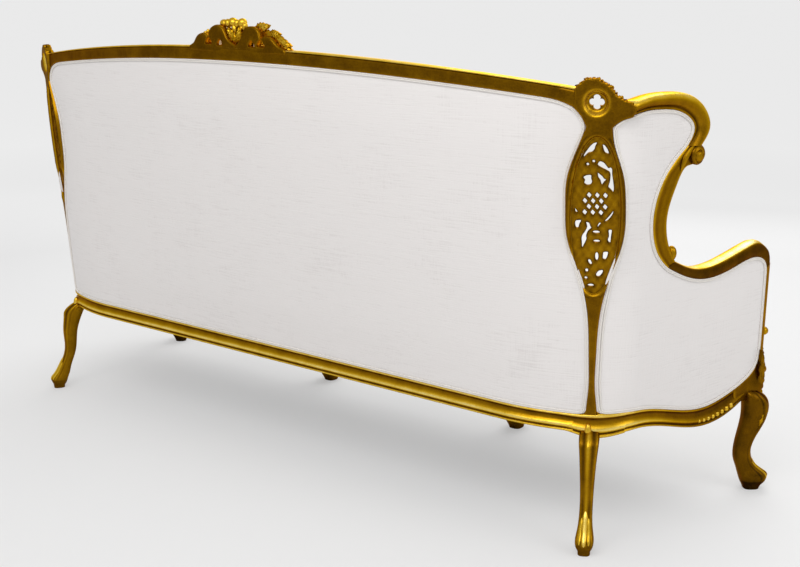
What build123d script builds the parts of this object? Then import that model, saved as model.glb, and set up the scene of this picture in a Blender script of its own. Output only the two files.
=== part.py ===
from build123d import *
import math
import os

# Baroque three-seat sofa: gilded show-wood frame, linen panels front and back.
# Millimetres, +Z up, front towards -Y, sitter's left towards +X.

# Seat frame
rail_top = 320.0
rear_rail_height = 46.0
rear_rail_thickness = 45.0
rear_face_y = 308.0
rear_straight_half = 747.0
rear_corner_radius = 516.0
front_face_y = -324.0
front_rail_thickness = 42.0
front_rail_height = 46.0
front_apron_drop = 16.0
side_rail_thickness = 40.0
side_rail_height = 44.0
side_rail_dip = 50.0
side_corner_radius = 97.0
cross_rail_width = 40.0
cross_rail_drop = 3.0

# Corner posts, drawn on their leaning outer face from the rail top
post_base_x = 965.0
post_base_y = 255.0
post_turn = 27.0
post_lean = 4.5
post_thickness = 24.0
post_foot_width = 28.0
post_tail = 10.0
stem_width = 17.0
stem_centre = 5.5
oval_centre = 477.0
oval_half_width = 67.0
oval_rim = 13.0
oval_half_height = 180.0
neck_height = 680.0
neck_half_width = 29.0
ear_height = 788.0
ear_inner_reach = 50.0
ear_outer_reach = 79.0
ear_end_height = 36.0
rosette_radius = 25.0
rosette_depth = 8.0
rosette_drop = 54.0
rosette_hole = 5.5
oval_shift = 3.0
splat_thickness = 10.0
splat_inset = 7.0
splat_clearance = 0.2
lattice_pitch = 22.0
lattice_hole = 12.0

# Back
top_bow = 130.0
top_end_y = 310.0
top_end_x = 993.0
top_arch_centre = 1142.0
top_arch_end = 1086.0
top_arch_half = 930.0
top_rail_height = 37.0
top_rail_end_height = 33.0
top_rail_thickness = 28.0
crest_half_width = 172.0
crest_height = 54.0
crest_seat = 14.0
crest_lobe_offset = 63.0
crest_lobe_radius = 31.0
crest_thickness = 24.0
crest_flower_radius = 13.0
upright_spacing = 330.0
upright_width = 40.0
stay_rail_height = 36.0
stay_rail_rise = 70.0
stay_inset = 1.0

# Sides, drawn on the outer face: s runs forward, v runs up from the rail top
side_start_x = 1030.0
side_start_y = 245.0
side_turn = 9.0
side_tilt = 2.5
side_lead = 60.0
side_level_step = 45.0
side_frame_thickness = 30.0
wing_top = 750.0
wing_reach = 277.0
wing_tip = 619.0
waist_reach = 142.0
waist_height = 460.0
scroll_width = 57.0
arm_dip = 315.0
arm_dip_reach = 322.0
arm_front = 349.0
arm_rail_height = 29.0
stump_reach = 586.0
stump_spread = 11.0
stump_face = 16.0
stump_depth = 44.0
stump_drop = 14.0

# Legs, each kicked outwards from its foot
rear_foot_x = 1003.0
rear_foot_y = 316.0
rear_kick_turn = 28.0
front_foot_x = 1124.0
front_foot_y = -316.0
middle_foot_x = 375.0
head_width = 46.0
head_depth = 48.0
head_height = 58.0
head_proud = 4.0
front_head_back = 530.0
front_head_depth = 54.0
front_head_proud = 6.0
front_head_drop = 14.0
front_head_lead = 4.0

# Upholstery
panel_recess = 3.0
panel_thickness = 6.0
piping_width = 10.0
webbing_thickness = 2.0
webbing_width = 50.0
webbing_pitch = 130.0
webbing_inset = 6.0
back_pad_edge = 45.0
back_pad_crown = 32.0
side_pad_edge = 34.0
side_pad_crown = 14.0
platform_thickness = 28.0
platform_margin = 8.0
platform_lap = 4.0
platform_corner = 110.0
cushion_height = 100.0
cushion_crown = 14.0
cushion_front_y = -345.0
cushion_draw = 7.0
cushion_seam_inset = 12.0
cushion_gap = 3.0
centre_cushion_half = 318.0
dust_cover_thickness = 1.5
dust_cover_rise = 1.0
dust_cover_corner = 130.0
dust_cover_margin = 4.0
soft_clearance = 0.4
lap = 12.0

# Fixings
dowel_diameter = 10.0
dowel_half = 26.0
block_height = 34.0
block_leg = 140.0
block_drop = 3.0
block_bite = 20.0
block_front_inset = 60.0
screw_diameter = 5.0
screw_length = 40.0
screw_head = 10.0
screw_grip = 14.0
far = 3000.0

rail_bottom = rail_top - rear_rail_height
front_rail_bottom = rail_top - front_rail_height
turn = math.radians(post_turn)
side_angle = math.radians(side_turn)
tilt = math.radians(side_tilt)
lean = math.radians(post_lean)
level_top = top_arch_centre - top_rail_height

# Working planes of the left half, each with its third axis pointing into the sofa
post_along = Vector(math.cos(turn), -math.sin(turn), 0)
post_out = Vector(math.sin(turn), math.cos(turn), 0)
post_up = post_out * math.sin(lean) + Vector(0, 0, math.cos(lean))
post_base = Vector(post_base_x, post_base_y, rail_top)
post_plane = Plane(post_base, x_dir=post_along, z_dir=post_along.cross(post_up))
post_plan = Plane((post_base_x, post_base_y, 0), x_dir=post_along, z_dir=(0, 0, 1))
side_along = Vector(math.sin(side_angle), -math.cos(side_angle), 0)
side_out = Vector(math.cos(side_angle), math.sin(side_angle), 0)
side_up = side_out * math.sin(tilt) + Vector(0, 0, math.cos(tilt))
side_base = Vector(side_start_x, side_start_y, rail_top)
side_plane = Plane(side_base, x_dir=side_along, z_dir=side_along.cross(side_up))
side_plan = Plane((side_start_x, side_start_y, 0), x_dir=side_along, z_dir=(0, 0, 1))
front_view = Plane((0, far / 2, 0), x_dir=(1, 0, 0), z_dir=(0, -1, 0))


def face(*curves):
    """A flat face inside a closed run of curves."""
    return make_face([edge for curve in curves for edge in curve.edges()])


def block(plane, low, high):
    """A box between two corners given in a plane's own axes."""
    size = [b - a for a, b in zip(low, high)]
    middle = [(a + b) / 2 for a, b in zip(low, high)]
    return plane * Pos(*middle) * Box(*size)


def mirrored(shape):
    return mirror(shape, about=Plane.YZ)


def solid(shape):
    """The largest solid of a cut shape, without slivers."""
    return max(shape.solids(), key=lambda piece: piece.volume)


# Shared edges of a corner post: stem, oval and ear
foot_half = post_foot_width / 2
stem_left = stem_centre - stem_width / 2
stem_right = stem_centre + stem_width / 2
oval_low = oval_centre - oval_half_height
ear_shoulder = ear_height - 48
ear_low = ear_shoulder - ear_end_height
post_right_edge = Spline(
    (stem_centre + foot_half, -post_tail), (stem_centre + foot_half, 0), (stem_right, 60), (stem_right, 132),
    (stem_right + 6, oval_low - 54), (stem_right + 27, oval_low + 41),
    (oval_half_width + 1, oval_centre - 46),
    (oval_half_width + 3, oval_centre + 24), (oval_half_width - 6, oval_centre + 103),
    (neck_half_width + 10, neck_height - 29), (neck_half_width + 7, neck_height),
)
right_shoulder_edge = Spline(
    post_right_edge @ 1, (neck_half_width + 21, neck_height + 12), (ear_outer_reach, ear_low),
)
ear_top_edge = Spline(
    (ear_outer_reach, ear_shoulder), (50, ear_shoulder + 11), (36, ear_shoulder + 20), (13, ear_height - 8),
    (-8, ear_height), (-34, ear_height - 9), (-ear_inner_reach, ear_height - 26),
)
left_shoulder_edge = Spline(
    (-ear_inner_reach, ear_low + 18), (-34, neck_height + 24), (7 - neck_half_width, neck_height),
)
post_left_edge = Spline(
    left_shoulder_edge @ 1, (-neck_half_width - 12, neck_height - 50),
    (4 - oval_half_width, oval_centre + 80),
    (3 - oval_half_width, oval_centre + 20), (6 - oval_half_width, oval_centre - 39),
    (stem_left - 24, oval_low + 35), (stem_left - 5, oval_low - 55), (stem_left, 132), (stem_left, 60),
    (stem_centre - foot_half, 0), (stem_centre - foot_half, -post_tail),
)
post_outline = face(
    Line(post_left_edge @ 1, post_right_edge @ 0),
    post_right_edge,
    right_shoulder_edge,
    Line(right_shoulder_edge @ 1, ear_top_edge @ 0),
    ear_top_edge,
    Line(ear_top_edge @ 1, left_shoulder_edge @ 0),
    left_shoulder_edge,
    post_left_edge,
)


# Curved surfaces of the back and the sides

def rear_y(x):
    """Outer face of the rear seat rail in plan."""
    past = max(0.0, abs(x) - rear_straight_half)
    return rear_face_y - rear_corner_radius + math.sqrt(rear_corner_radius ** 2 - past ** 2)


def top_y(x):
    """Outer face of the bowed top rail in plan."""
    return top_end_y + top_bow * (1 - (x / top_end_x) ** 2)


def back_y(x, z):
    share = (z - rail_top) / (level_top - rail_top)
    return rear_y(x) + (top_y(x) - rear_y(x)) * share


def back_slab(outer, inner, low, high, half, levels=2, bulge=0.0):
    """A raked, bowed layer of the back between two depths under its outer face."""
    sections = []
    count = 15
    xs = [half * (2 * i / (count - 1) - 1) for i in range(count)]
    for step in range(levels):
        share = step / (levels - 1)
        z = low + (high - low) * share
        swell = bulge * math.sin(math.pi * (0.1 + 0.8 * share))
        outside = [(x, back_y(x, z) - outer, z) for x in xs]
        inside = [(x, back_y(x, z) - inner - swell * (1 - (x / half) ** 4), z) for x in xs]
        sections.append(face(
            Spline(*outside),
            Line(outside[-1], inside[-1]),
            Spline(*reversed(inside)),
            Line(inside[0], outside[0]),
        ))
    return loft(sections, ruled=levels == 2)


# The post's outer edge as forward, up and inwards of the side's face, from the rail upwards
post_edge_steps = 24
post_edge_on_side = [
    side_plane.to_local_coords(post_plane.from_local_coords(edge @ (i / post_edge_steps)))
    for edge in (post_right_edge, right_shoulder_edge)
    for i in range(post_edge_steps + 1)
]


def post_edge_at(v):
    """How far forward and how deep the post's edge lies at a height of the side."""
    below = post_edge_on_side[0]
    for above in post_edge_on_side:
        if above.Y >= v:
            break
        below = above
    rise = above.Y - below.Y
    share = min(1.0, max(0.0, (v - below.Y) / rise)) if rise else 1.0
    point = below + (above - below) * share
    return point.X, max(0.0, point.Z)


def tuck(s, v):
    """How far the side turns in to meet the edge of the post."""
    start, depth = post_edge_at(v)
    along = min(1.0, max(0.0, (s - start) / side_corner_radius))
    return depth * (1 - along) ** 2


def side_slab(outer, inner, low, high, front, bulge=0.0):
    """A layer of the side between two depths under its outer face."""
    bend = [-side_lead + side_lead * 0.4 * i for i in range(6)]
    stops = bend + [0.28 * front, 0.5 * front, 0.75 * front, front]
    levels = max(2, round((high - low) / side_level_step))
    sections = []
    for step in range(levels):
        share = step / (levels - 1)
        v = low + (high - low) * share
        swell = bulge * math.sin(math.pi * (0.1 + 0.8 * share))
        shape = [1 - ((2 * s - front) / front) ** 4 for s in stops]
        outside = [(s, tuck(s, v) + outer) for s in stops]
        inside = [(s, tuck(s, v) + inner + swell * max(0.0, k)) for s, k in zip(stops, shape)]
        plane = Plane(side_base + side_up * v, x_dir=side_along, z_dir=side_up * -1)
        sections.append(plane * face(
            Spline(*outside),
            Line(outside[-1], inside[-1]),
            Spline(*reversed(inside)),
            Line(inside[0], outside[0]),
        ))
    return loft(sections, ruled=True)


# Shared edges of the side frame, from the wing down to the arm front
scroll_inner = waist_reach - scroll_width
wing_outer_edge = Spline(
    (-34, wing_top - 15), (56, wing_top - 1), (106, wing_top), (200, wing_top - 13),
    (wing_reach - 15, wing_top - 54), (wing_reach, wing_top - 88), (wing_reach - 28, wing_tip),
)
wing_inner_edge = Spline(
    (-34, wing_top - 52), (36, wing_top - 38), (85, wing_top - 38), (175, wing_top - 55),
    (wing_reach - 64, wing_top - 88), (wing_reach - 86, wing_tip + 3),
)
scroll_outer_edge = Spline(
    (wing_reach - 28, wing_tip), (wing_reach - 19, wing_tip - 20), (wing_reach - 43, wing_tip - 41),
    (waist_reach + 60, wing_tip - 44), (waist_reach + 28, waist_height + 76), (waist_reach, waist_height),
    (waist_reach + 17, arm_dip + 73), (waist_reach + 43, arm_dip + 36),
)
scroll_inner_edge = Spline(
    (wing_reach - 86, wing_tip + 3), (scroll_inner + 67, wing_tip - 26),
    (scroll_inner + 31, waist_height + 95),
    (scroll_inner, waist_height), (scroll_inner + 29, arm_dip + 60), (scroll_inner + 70, arm_dip + 23),
)
arm_top_edge = Spline(
    (waist_reach + 43, arm_dip + 36), (arm_dip_reach - 45, arm_dip + 3), (arm_dip_reach, arm_dip),
    (arm_dip_reach + 113, arm_dip + 17), (stump_reach - 93, arm_front - 4), (stump_reach - 58, arm_front),
    (stump_reach - 24, arm_front - 14), (stump_reach - 6, arm_front - 30), (stump_reach, arm_front - 61),
)
arm_under_edge = Spline(
    (scroll_inner + 70, arm_dip + 23), (arm_dip_reach - 52, arm_dip + 7 - arm_rail_height),
    (arm_dip_reach + 5, arm_dip - arm_rail_height), (arm_dip_reach + 119, arm_dip + 15 - arm_rail_height),
    (stump_reach - 50, arm_front - 41), (stump_reach - 27, arm_front - 53),
    (stump_reach - stump_face, arm_front - 73),
)
stump_inner_top = arm_under_edge @ 1
stump_outer_top = arm_top_edge @ 1
stump_foot = stump_reach + stump_spread
side_rail_top_edge = Spline(
    (-side_lead, 0), (-4, 0), (61, 3), (204, -side_rail_dip * 0.45), (356, -side_rail_dip),
    (509, -side_rail_dip * 0.45), (front_head_back + 10, -side_rail_dip * 0.3),
)
side_rail_bottom_edge = Spline(
    (-side_lead, -side_rail_height), (-4, -side_rail_height), (67, -side_rail_height),
    (210, -side_rail_height - side_rail_dip * 0.52), (364, -side_rail_height * 1.23 - side_rail_dip),
    (479, -side_rail_height - side_rail_dip * 0.9),
    (front_head_back + 10, -side_rail_height - side_rail_dip * 0.4),
)


def ribbon(edge, width):
    """A strip along an edge, to the right of its direction where width is positive."""
    count = 12
    shifted = []
    for i in range(count + 1):
        tangent = edge % (i / count)
        shifted.append(edge @ (i / count) + Vector(tangent.Y, -tangent.X, 0) * width)
    return face(edge, Line(edge @ 1, shifted[-1]), Spline(*reversed(shifted)), Line(shifted[0], edge @ 0))


def through(plane, outline):
    """An outline pushed right through the sofa, both ways from its plane."""
    return extrude(plane.offset(-far / 2) * outline, amount=far)


def side_board(outline, near=0.0, deep=side_frame_thickness):
    """A board cut to an outline of the side and set in from its outer face."""
    return extrude(side_plane.offset(near) * outline, amount=deep - near)


def side_field():
    """The upholstered field of a side inside its show-wood."""
    stump_low = Vector(stump_foot - stump_face, -side_rail_dip * 0.25)
    return face(
        Line((-side_lead, wing_top - 54), wing_inner_edge @ 0),
        wing_inner_edge,
        scroll_inner_edge,
        arm_under_edge,
        Line(stump_inner_top, stump_low),
        Line(stump_low, side_rail_top_edge @ 1),
        side_rail_top_edge,
        Line(side_rail_top_edge @ 0, (-side_lead, wing_top - 54)),
    )


def side_trim(width):
    """Strips along every edge of the side field, inwards where width is positive."""
    stump_edge = Line(stump_inner_top, (stump_foot - stump_face, -side_rail_dip * 0.25))
    edges = [wing_inner_edge, scroll_inner_edge, arm_under_edge, stump_edge]
    return [ribbon(edge, width) for edge in edges] + [ribbon(side_rail_top_edge, -width)]


# Show-wood of a side

def rear_leg():
    foot = Vector(rear_foot_x, rear_foot_y, 0)
    kick = math.radians(rear_kick_turn)
    away = Vector(math.sin(kick), math.cos(kick), 0)
    stations = [
        (0, 0, 36, 32), (9, 0, 44, 36), (25, -3, 52, 42), (60, -18, 44, 38),
        (120, -41, 37, 35), (190, -46, 48, 41), (255, -62, 58, 46), (rail_top - 12, -76, 42, 42),
    ]
    sections = []
    for height, along, deep, wide in stations:
        place = Plane(foot + away * along + Vector(0, 0, height), x_dir=away, z_dir=(0, 0, 1))
        sections.append(place * RectangleRounded(deep, wide, min(deep, wide) * 0.3))
    head = block(
        post_plan,
        (stem_centre - head_width / 2, head_proud - head_depth, rail_top - head_height),
        (stem_centre + head_width / 2, head_proud, rail_top),
    )
    return solid(loft(sections) + head)


def front_leg(foot, away, head=None):
    stations = [
        (0, 0, 40), (12, 0, 52), (38, -1, 70), (72, -24, 50), (104, -29, 46),
        (142, -22, 49), (186, -11, 58), (232, 0, 69), (front_rail_bottom, 2, 62),
    ]
    sections = []
    for height, along, wide in stations:
        place = Plane(foot + away * along + Vector(0, 0, height), x_dir=away, z_dir=(0, 0, 1))
        sections.append(place * RectangleRounded(wide, wide * 0.92, wide * 0.3))
    leg = loft(sections)
    return solid(leg + head) if head else solid(leg)


front_head = block(
    side_plan,
    (front_head_back, -front_head_depth, front_rail_bottom - front_head_drop),
    (stump_foot + front_head_lead, front_head_proud, rail_top),
)
diagonal = Vector(math.sqrt(0.5), -math.sqrt(0.5), 0)


def corner_post():
    opening = Pos(oval_shift, oval_centre) * Ellipse(oval_half_width - oval_rim, oval_half_height)
    rosette_place = Pos(-1, ear_height - rosette_drop)
    quatrefoil = Sketch() + [
        Pos(rosette_hole * math.cos(a), rosette_hole * math.sin(a)) * Circle(rosette_hole)
        for a in (i * math.pi / 2 for i in range(4))
    ]
    board = extrude(post_plane * (post_outline - opening - rosette_place * quatrefoil), amount=post_thickness)
    recess = extrude(post_plane * rosette_place * Circle(rosette_radius), amount=rosette_depth)
    petals = extrude(
        post_plane * rosette_place * (Circle(rosette_radius * 0.62) - quatrefoil), amount=rosette_depth
    )
    return board - recess + petals


def post_splat():
    """Pierced oval panel: a diamond lattice between leaf-shaped slots."""
    half_width = oval_half_width - oval_rim - splat_clearance
    half_height = oval_half_height - splat_clearance
    field = Ellipse(half_width, half_height)
    holes = Sketch()
    for row in range(-5, 6):
        for column in range(-2, 3):
            x = lattice_pitch * (column + 0.5 * (row % 2))
            y = lattice_pitch * 0.5 * row
            if (x / half_width) ** 2 + (y / 62) ** 2 < 0.6:
                holes += Pos(x, y) * Rot(0, 0, 45) * Rectangle(lattice_hole, lattice_hole)
    for end in (1, -1):
        holes += Pos(0, end * 101) * Ellipse(6, 24)
        holes += Pos(0, end * 146) * Ellipse(5, 14)
        for side in (1, -1):
            holes += Pos(side * 24, end * 84) * Rot(0, 0, -side * end * 28) * Ellipse(6, 22)
            holes += Pos(side * 15, end * 128) * Rot(0, 0, side * end * 18) * Ellipse(4.5, 16)
    place = post_plane.offset(splat_inset) * Pos(oval_shift, oval_centre)
    return extrude(place * (field - holes), amount=splat_thickness)


def wing_rail():
    board = side_board(face(
        Line(wing_outer_edge @ 0, wing_inner_edge @ 0),
        wing_inner_edge,
        Line(wing_inner_edge @ 1, wing_outer_edge @ 1),
        wing_outer_edge,
    ))
    return solid(board - behind_post)


def wing_scroll():
    return side_board(face(
        Line(scroll_outer_edge @ 0, scroll_inner_edge @ 0),
        scroll_inner_edge,
        Line(scroll_inner_edge @ 1, scroll_outer_edge @ 1),
        scroll_outer_edge,
    ))


def arm_rail():
    return side_board(face(
        Line(arm_top_edge @ 0, arm_under_edge @ 0),
        arm_under_edge,
        Line(arm_under_edge @ 1, arm_top_edge @ 1),
        arm_top_edge,
    ))


def arm_stump(leg):
    back = stump_foot - stump_face - stump_depth
    low = -stump_drop
    strip = face(
        Line((stump_foot - stump_face, low), (stump_foot, low)),
        Line((stump_foot, low), stump_outer_top),
        Line(stump_outer_top, stump_inner_top),
        Line(stump_inner_top, (stump_foot - stump_face, low)),
    )
    inner_top = stump_inner_top.Y
    tongue = face(
        Line((back, low), (stump_foot - stump_face, low)),
        Line((stump_foot - stump_face, low), stump_inner_top),
        Line(stump_inner_top, (back, inner_top)),
        Line((back, inner_top), (back, low)),
    )
    rebate = panel_recess + panel_thickness + soft_clearance
    return solid(side_board(strip) + side_board(tongue, rebate) - leg)


def side_seat_rail(leg, front):
    band = side_slab(0, side_rail_thickness, -side_rail_dip - 2 * side_rail_height, 20, front_head_back + 12)
    outline = through(side_plane, face(
        side_rail_top_edge,
        Line(side_rail_top_edge @ 1, side_rail_bottom_edge @ 1),
        side_rail_bottom_edge,
        Line(side_rail_bottom_edge @ 0, side_rail_top_edge @ 0),
    ))
    inboard = block(post_plan, (-far, -far, 0), (stem_centre + head_width / 2, far, far))
    return solid((band & outline) - inboard - leg - front)


# Rails and boards of the seat and back

def rail_plan(deep):
    """Plan of the rear rail face, set in by a depth: arc, straight run, arc."""
    swing = math.asin((post_base_x - rear_straight_half) / rear_corner_radius)
    radius = rear_corner_radius - deep
    middle_y = rear_face_y - rear_corner_radius
    points = []
    for share in (1.0, 0.5, 0.0):
        angle = swing * share
        points.append((rear_straight_half + radius * math.sin(angle), middle_y + radius * math.cos(angle)))
    return points


def rear_rail():
    outer = rail_plan(0)
    inner = rail_plan(rear_rail_thickness)
    flip = [(-x, y) for x, y in outer]
    flip_inner = [(-x, y) for x, y in inner]
    plan = face(
        ThreePointArc(*outer),
        Line(outer[2], flip[2]),
        ThreePointArc(*reversed(flip)),
        Line(flip[0], flip_inner[0]),
        ThreePointArc(*flip_inner),
        Line(flip_inner[2], inner[2]),
        ThreePointArc(*reversed(inner)),
        Line(inner[0], outer[0]),
    )
    rail = extrude(Pos(0, 0, rail_bottom) * plan, amount=rear_rail_height)
    past = block(post_plan, (stem_centre - head_width / 2, -far, 0), (far, far, far))
    return solid(rail - past - mirrored(past))


def front_rail(heads):
    """Front rail with a shallow apron hanging in each of its three bays."""
    inner = front_face_y + front_rail_thickness
    rail = Pos(0, (front_face_y + inner) / 2, (front_rail_bottom + rail_top) / 2) * Box(
        2 * (front_foot_x - 20), front_rail_thickness, front_rail_height)
    bay = middle_foot_x - 60
    for x in (-2 * middle_foot_x, 0, 2 * middle_foot_x):
        apron = face(
            ThreePointArc(
                (x - bay, front_rail_bottom),
                (x, front_rail_bottom - front_apron_drop),
                (x + bay, front_rail_bottom),
            ),
            Line((x + bay, front_rail_bottom), (x - bay, front_rail_bottom)),
        )
        board = Plane((0, front_face_y, 0), x_dir=(1, 0, 0), z_dir=(0, -1, 0))
        rail += extrude(board * apron, amount=-front_rail_thickness)
    for head in heads:
        rail -= head
    return solid(rail)


top_edge = ThreePointArc(
    (-top_arch_half, top_arch_end), (0, top_arch_centre), (top_arch_half, top_arch_end)
)
under_edge = ThreePointArc(
    (-top_arch_half, top_arch_end - top_rail_end_height), (0, level_top),
    (top_arch_half, top_arch_end - top_rail_end_height),
)


def widened(edge, reach):
    """An arched edge carried straight on past both its ends."""
    left = edge @ 0 - (edge % 0) * reach
    right = edge @ 1 + (edge % 1) * reach
    return [Line(left, edge @ 0), edge, Line(edge @ 1, right)], left, right


def over_arch(edge, lift):
    """Everything above an arched edge, up to a lift."""
    curves, left, right = widened(edge, 90)
    up = Vector(0, lift, 0)
    return face(*curves, Line(right, right + up), Line(right + up, left + up), Line(left + up, left))


def top_rail():
    count = 11
    half = top_arch_half + 60
    xs = [half * (2 * i / (count - 1) - 1) for i in range(count)]
    outer = [(x, top_y(x)) for x in xs]
    inner = [(x, top_y(x) - top_rail_thickness) for x in xs]
    plan = face(
        Spline(*outer),
        Line(outer[-1], inner[-1]),
        Spline(*reversed(inner)),
        Line(inner[0], outer[0]),
    )
    rail = extrude(Pos(0, 0, rail_top) * plan, amount=far)
    rail &= through(front_view, over_arch(under_edge, far) - over_arch(top_edge, far))
    past = block(post_plane, (-ear_inner_reach, -far, -far), (far, far, far))
    return solid(rail - past - mirrored(past))


def crest(rail):
    """Carved crest: a two-lobed pierced board with leaf shoulders and a flower in front."""
    base = top_arch_centre - crest_seat
    lobe_z = top_arch_centre + crest_height - crest_lobe_radius
    back = top_y(crest_lobe_offset)
    view = Plane((0, back, 0), x_dir=(1, 0, 0), z_dir=(0, -1, 0))
    shape = Sketch()
    for side in (1, -1):
        shape += Pos(side * crest_lobe_offset, lobe_z) * Circle(crest_lobe_radius)
        shape += Pos(side * (crest_half_width - 46), lobe_z - 14) * Ellipse(30, 22)
        shape += face(
            Polyline(
                (0, base), (side * crest_half_width, base), (side * crest_half_width, top_arch_centre + 2),
                (side * (crest_half_width - 20), lobe_z - 18), (side * crest_lobe_offset, lobe_z + 6),
                (0, top_arch_centre + 4), (0, base),
            )
        )
    for side in (1, -1):
        shape -= Pos(side * 30, lobe_z - 22) * Rot(0, 0, side * 20) * RegularPolygon(9, 3)
        shape -= Pos(side * (crest_half_width - 76), lobe_z - 16) * RegularPolygon(8, 3)
    board = extrude(view * shape, amount=crest_thickness)
    board -= rail
    carved = solid(board)
    front = back - crest_thickness
    petals = [(0, 0)] + [(1.5 * math.cos(a), 1.5 * math.sin(a)) for a in (i * math.pi / 3 for i in range(6))]
    for x, z in petals:
        carved += Pos(
            x * crest_flower_radius, front, lobe_z + 14 + z * crest_flower_radius
        ) * Sphere(crest_flower_radius)
    for side in (1, -1):
        for step in range(3):
            place = Pos(side * (62 + 34 * step), front, lobe_z + 4 - 9 * step)
            carved += place * Sphere(crest_flower_radius * (1.1 - 0.15 * step))
    return solid(carved - rail)


# Cuts that fit the upholstery between the posts

post_to_right = face(
    post_right_edge,
    right_shoulder_edge,
    Line(right_shoulder_edge @ 1, (ear_outer_reach, far)),
    Line((ear_outer_reach, far), (-far, far)),
    Line((-far, far), (-far, -post_tail)),
    Line((-far, -post_tail), post_right_edge @ 0),
)
post_to_left = face(
    left_shoulder_edge,
    post_left_edge,
    Line(post_left_edge @ 1, (far, -post_tail)),
    Line((far, -post_tail), (far, far)),
    Line((far, far), (-ear_inner_reach, far)),
    Line((-ear_inner_reach, far), left_shoulder_edge @ 0),
)
behind_post = through(post_plane, post_to_right)
beside_post = through(post_plane, post_to_left)
panel_inner = panel_recess + panel_thickness
frame_start = panel_inner + soft_clearance
webbing_start = top_rail_thickness + soft_clearance
pad_start = webbing_start + webbing_thickness + soft_clearance
side_pad_start = side_frame_thickness + soft_clearance
platform_low = rail_top + webbing_thickness + soft_clearance
platform_high = platform_low + platform_thickness
pad_low = platform_high + soft_clearance


def between_posts(shape):
    return shape - beside_post - mirrored(beside_post)


def back_strips():
    """Piping lines of the back panel: along both rails and both posts."""
    low = through(front_view, Pos(0, rail_top + piping_width / 2) * Rectangle(far, piping_width))
    arch = over_arch(under_edge, far)
    high = through(front_view, Pos(0, -piping_width) * arch - arch)
    beside = through(post_plane, ribbon(left_shoulder_edge, piping_width)) + through(
        post_plane, ribbon(post_left_edge, piping_width))
    return [low, high, beside, mirrored(beside)]


def back_field():
    return through(front_view, Pos(0, rail_top + far / 2) * Rectangle(far, far) - over_arch(under_edge, far))


def back_covering():
    """Outside back panel and the piping round it."""
    layer = between_posts(back_slab(0, panel_inner, rail_top - 6, level_top + 8, post_base_x) & back_field())
    strips = back_strips()
    edge = layer & (strips[0] + strips[1] + strips[2] + strips[3])
    panel = between_posts(
        back_slab(panel_recess, panel_inner, rail_top - 6, level_top + 8, post_base_x) & back_field())
    for strip in strips:
        panel -= strip
    return solid(panel), edge


def side_covering():
    """Outside side panel and the piping round it."""
    top = wing_top + 10
    low = -side_rail_dip - 30
    field = through(side_plane, side_field())
    front = stump_foot + 10
    strips = [through(side_plane, strip) for strip in side_trim(piping_width)]
    strips.append(through(post_plane, ribbon(post_right_edge, piping_width)))
    strips.append(through(post_plane, ribbon(right_shoulder_edge, piping_width)))
    layer = (side_slab(0, panel_inner, low, top, front) & field) - behind_post
    panel = (side_slab(panel_recess, panel_inner, low, top, front) & field) - behind_post
    ring = strips[0]
    for strip in strips[1:]:
        ring += strip
    panel -= ring
    return solid(panel), layer & ring


def back_uprights(rail):
    layer = back_slab(frame_start, top_rail_thickness, rail_top, level_top + 6, post_base_x)
    pieces = []
    for side in (1, -1):
        slot = Pos(side * upright_spacing, 0, far / 2) * Box(upright_width, far, far)
        pieces.append(solid((layer & slot) - rail))
    return pieces


def back_stay_rails(uprights):
    low = rail_top + stay_rail_rise
    layer = between_posts(back_slab(
        frame_start + stay_inset, top_rail_thickness - stay_inset, low, low + stay_rail_height, post_base_x))
    for upright in uprights:
        layer -= upright
    return [piece for piece in layer.solids() if piece.volume > 1000]


def side_stay_rail(stump):
    low = stay_rail_rise
    layer = side_slab(frame_start, side_frame_thickness, low, low + stay_rail_height, stump_foot - stump_face)
    return solid(layer - behind_post - stump)


def back_webbing():
    layer = back_slab(webbing_start, webbing_start + webbing_thickness,
                      rail_top + stay_rail_rise, level_top - webbing_inset, post_base_x)
    straps = []
    count = int(2 * rear_straight_half / webbing_pitch)
    for i in range(count):
        x = webbing_pitch * (i - (count - 1) / 2)
        straps.append(solid(layer & (Pos(x, 0, far / 2) * Box(webbing_width, far, far))))
    return straps


def seat_webbing():
    straps = []
    count = int(2 * post_base_x / webbing_pitch) - 1
    for i in range(count):
        x = webbing_pitch * (i - (count - 1) / 2)
        rear = rear_y(abs(x) + webbing_width / 2) - rear_rail_thickness / 2
        front = front_face_y + webbing_inset
        straps.append(Pos(x, (rear + front) / 2, rail_top + webbing_thickness / 2) * Box(
            webbing_width, rear - front, webbing_thickness))
    return straps


def back_pad():
    layer = back_slab(
        pad_start, pad_start + back_pad_edge, pad_low, level_top + lap, post_base_x, 7, back_pad_crown)
    field = through(
        front_view,
        Pos(0, pad_low + far / 2) * Rectangle(far, far) - Pos(0, lap) * over_arch(under_edge, far),
    )
    return solid(between_posts(layer & field))


def side_pad(scroll):
    low = pad_low - rail_top
    layer = side_slab(
        side_pad_start, side_pad_start + side_pad_edge, low, wing_top, stump_foot, side_pad_crown)
    shape = side_field()
    for strip in side_trim(-lap):
        shape += strip
    flat = block(Plane.XY, (-far, -far, pad_low), (far, far, far))
    return solid((layer & through(side_plane, shape) & flat) - behind_post - scroll)


def side_point(s, n):
    """A plan point of the side, at a distance forward and a depth inwards."""
    point = side_base + side_along * s - side_out * n
    return Vector(point.X, point.Y, 0)


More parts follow.
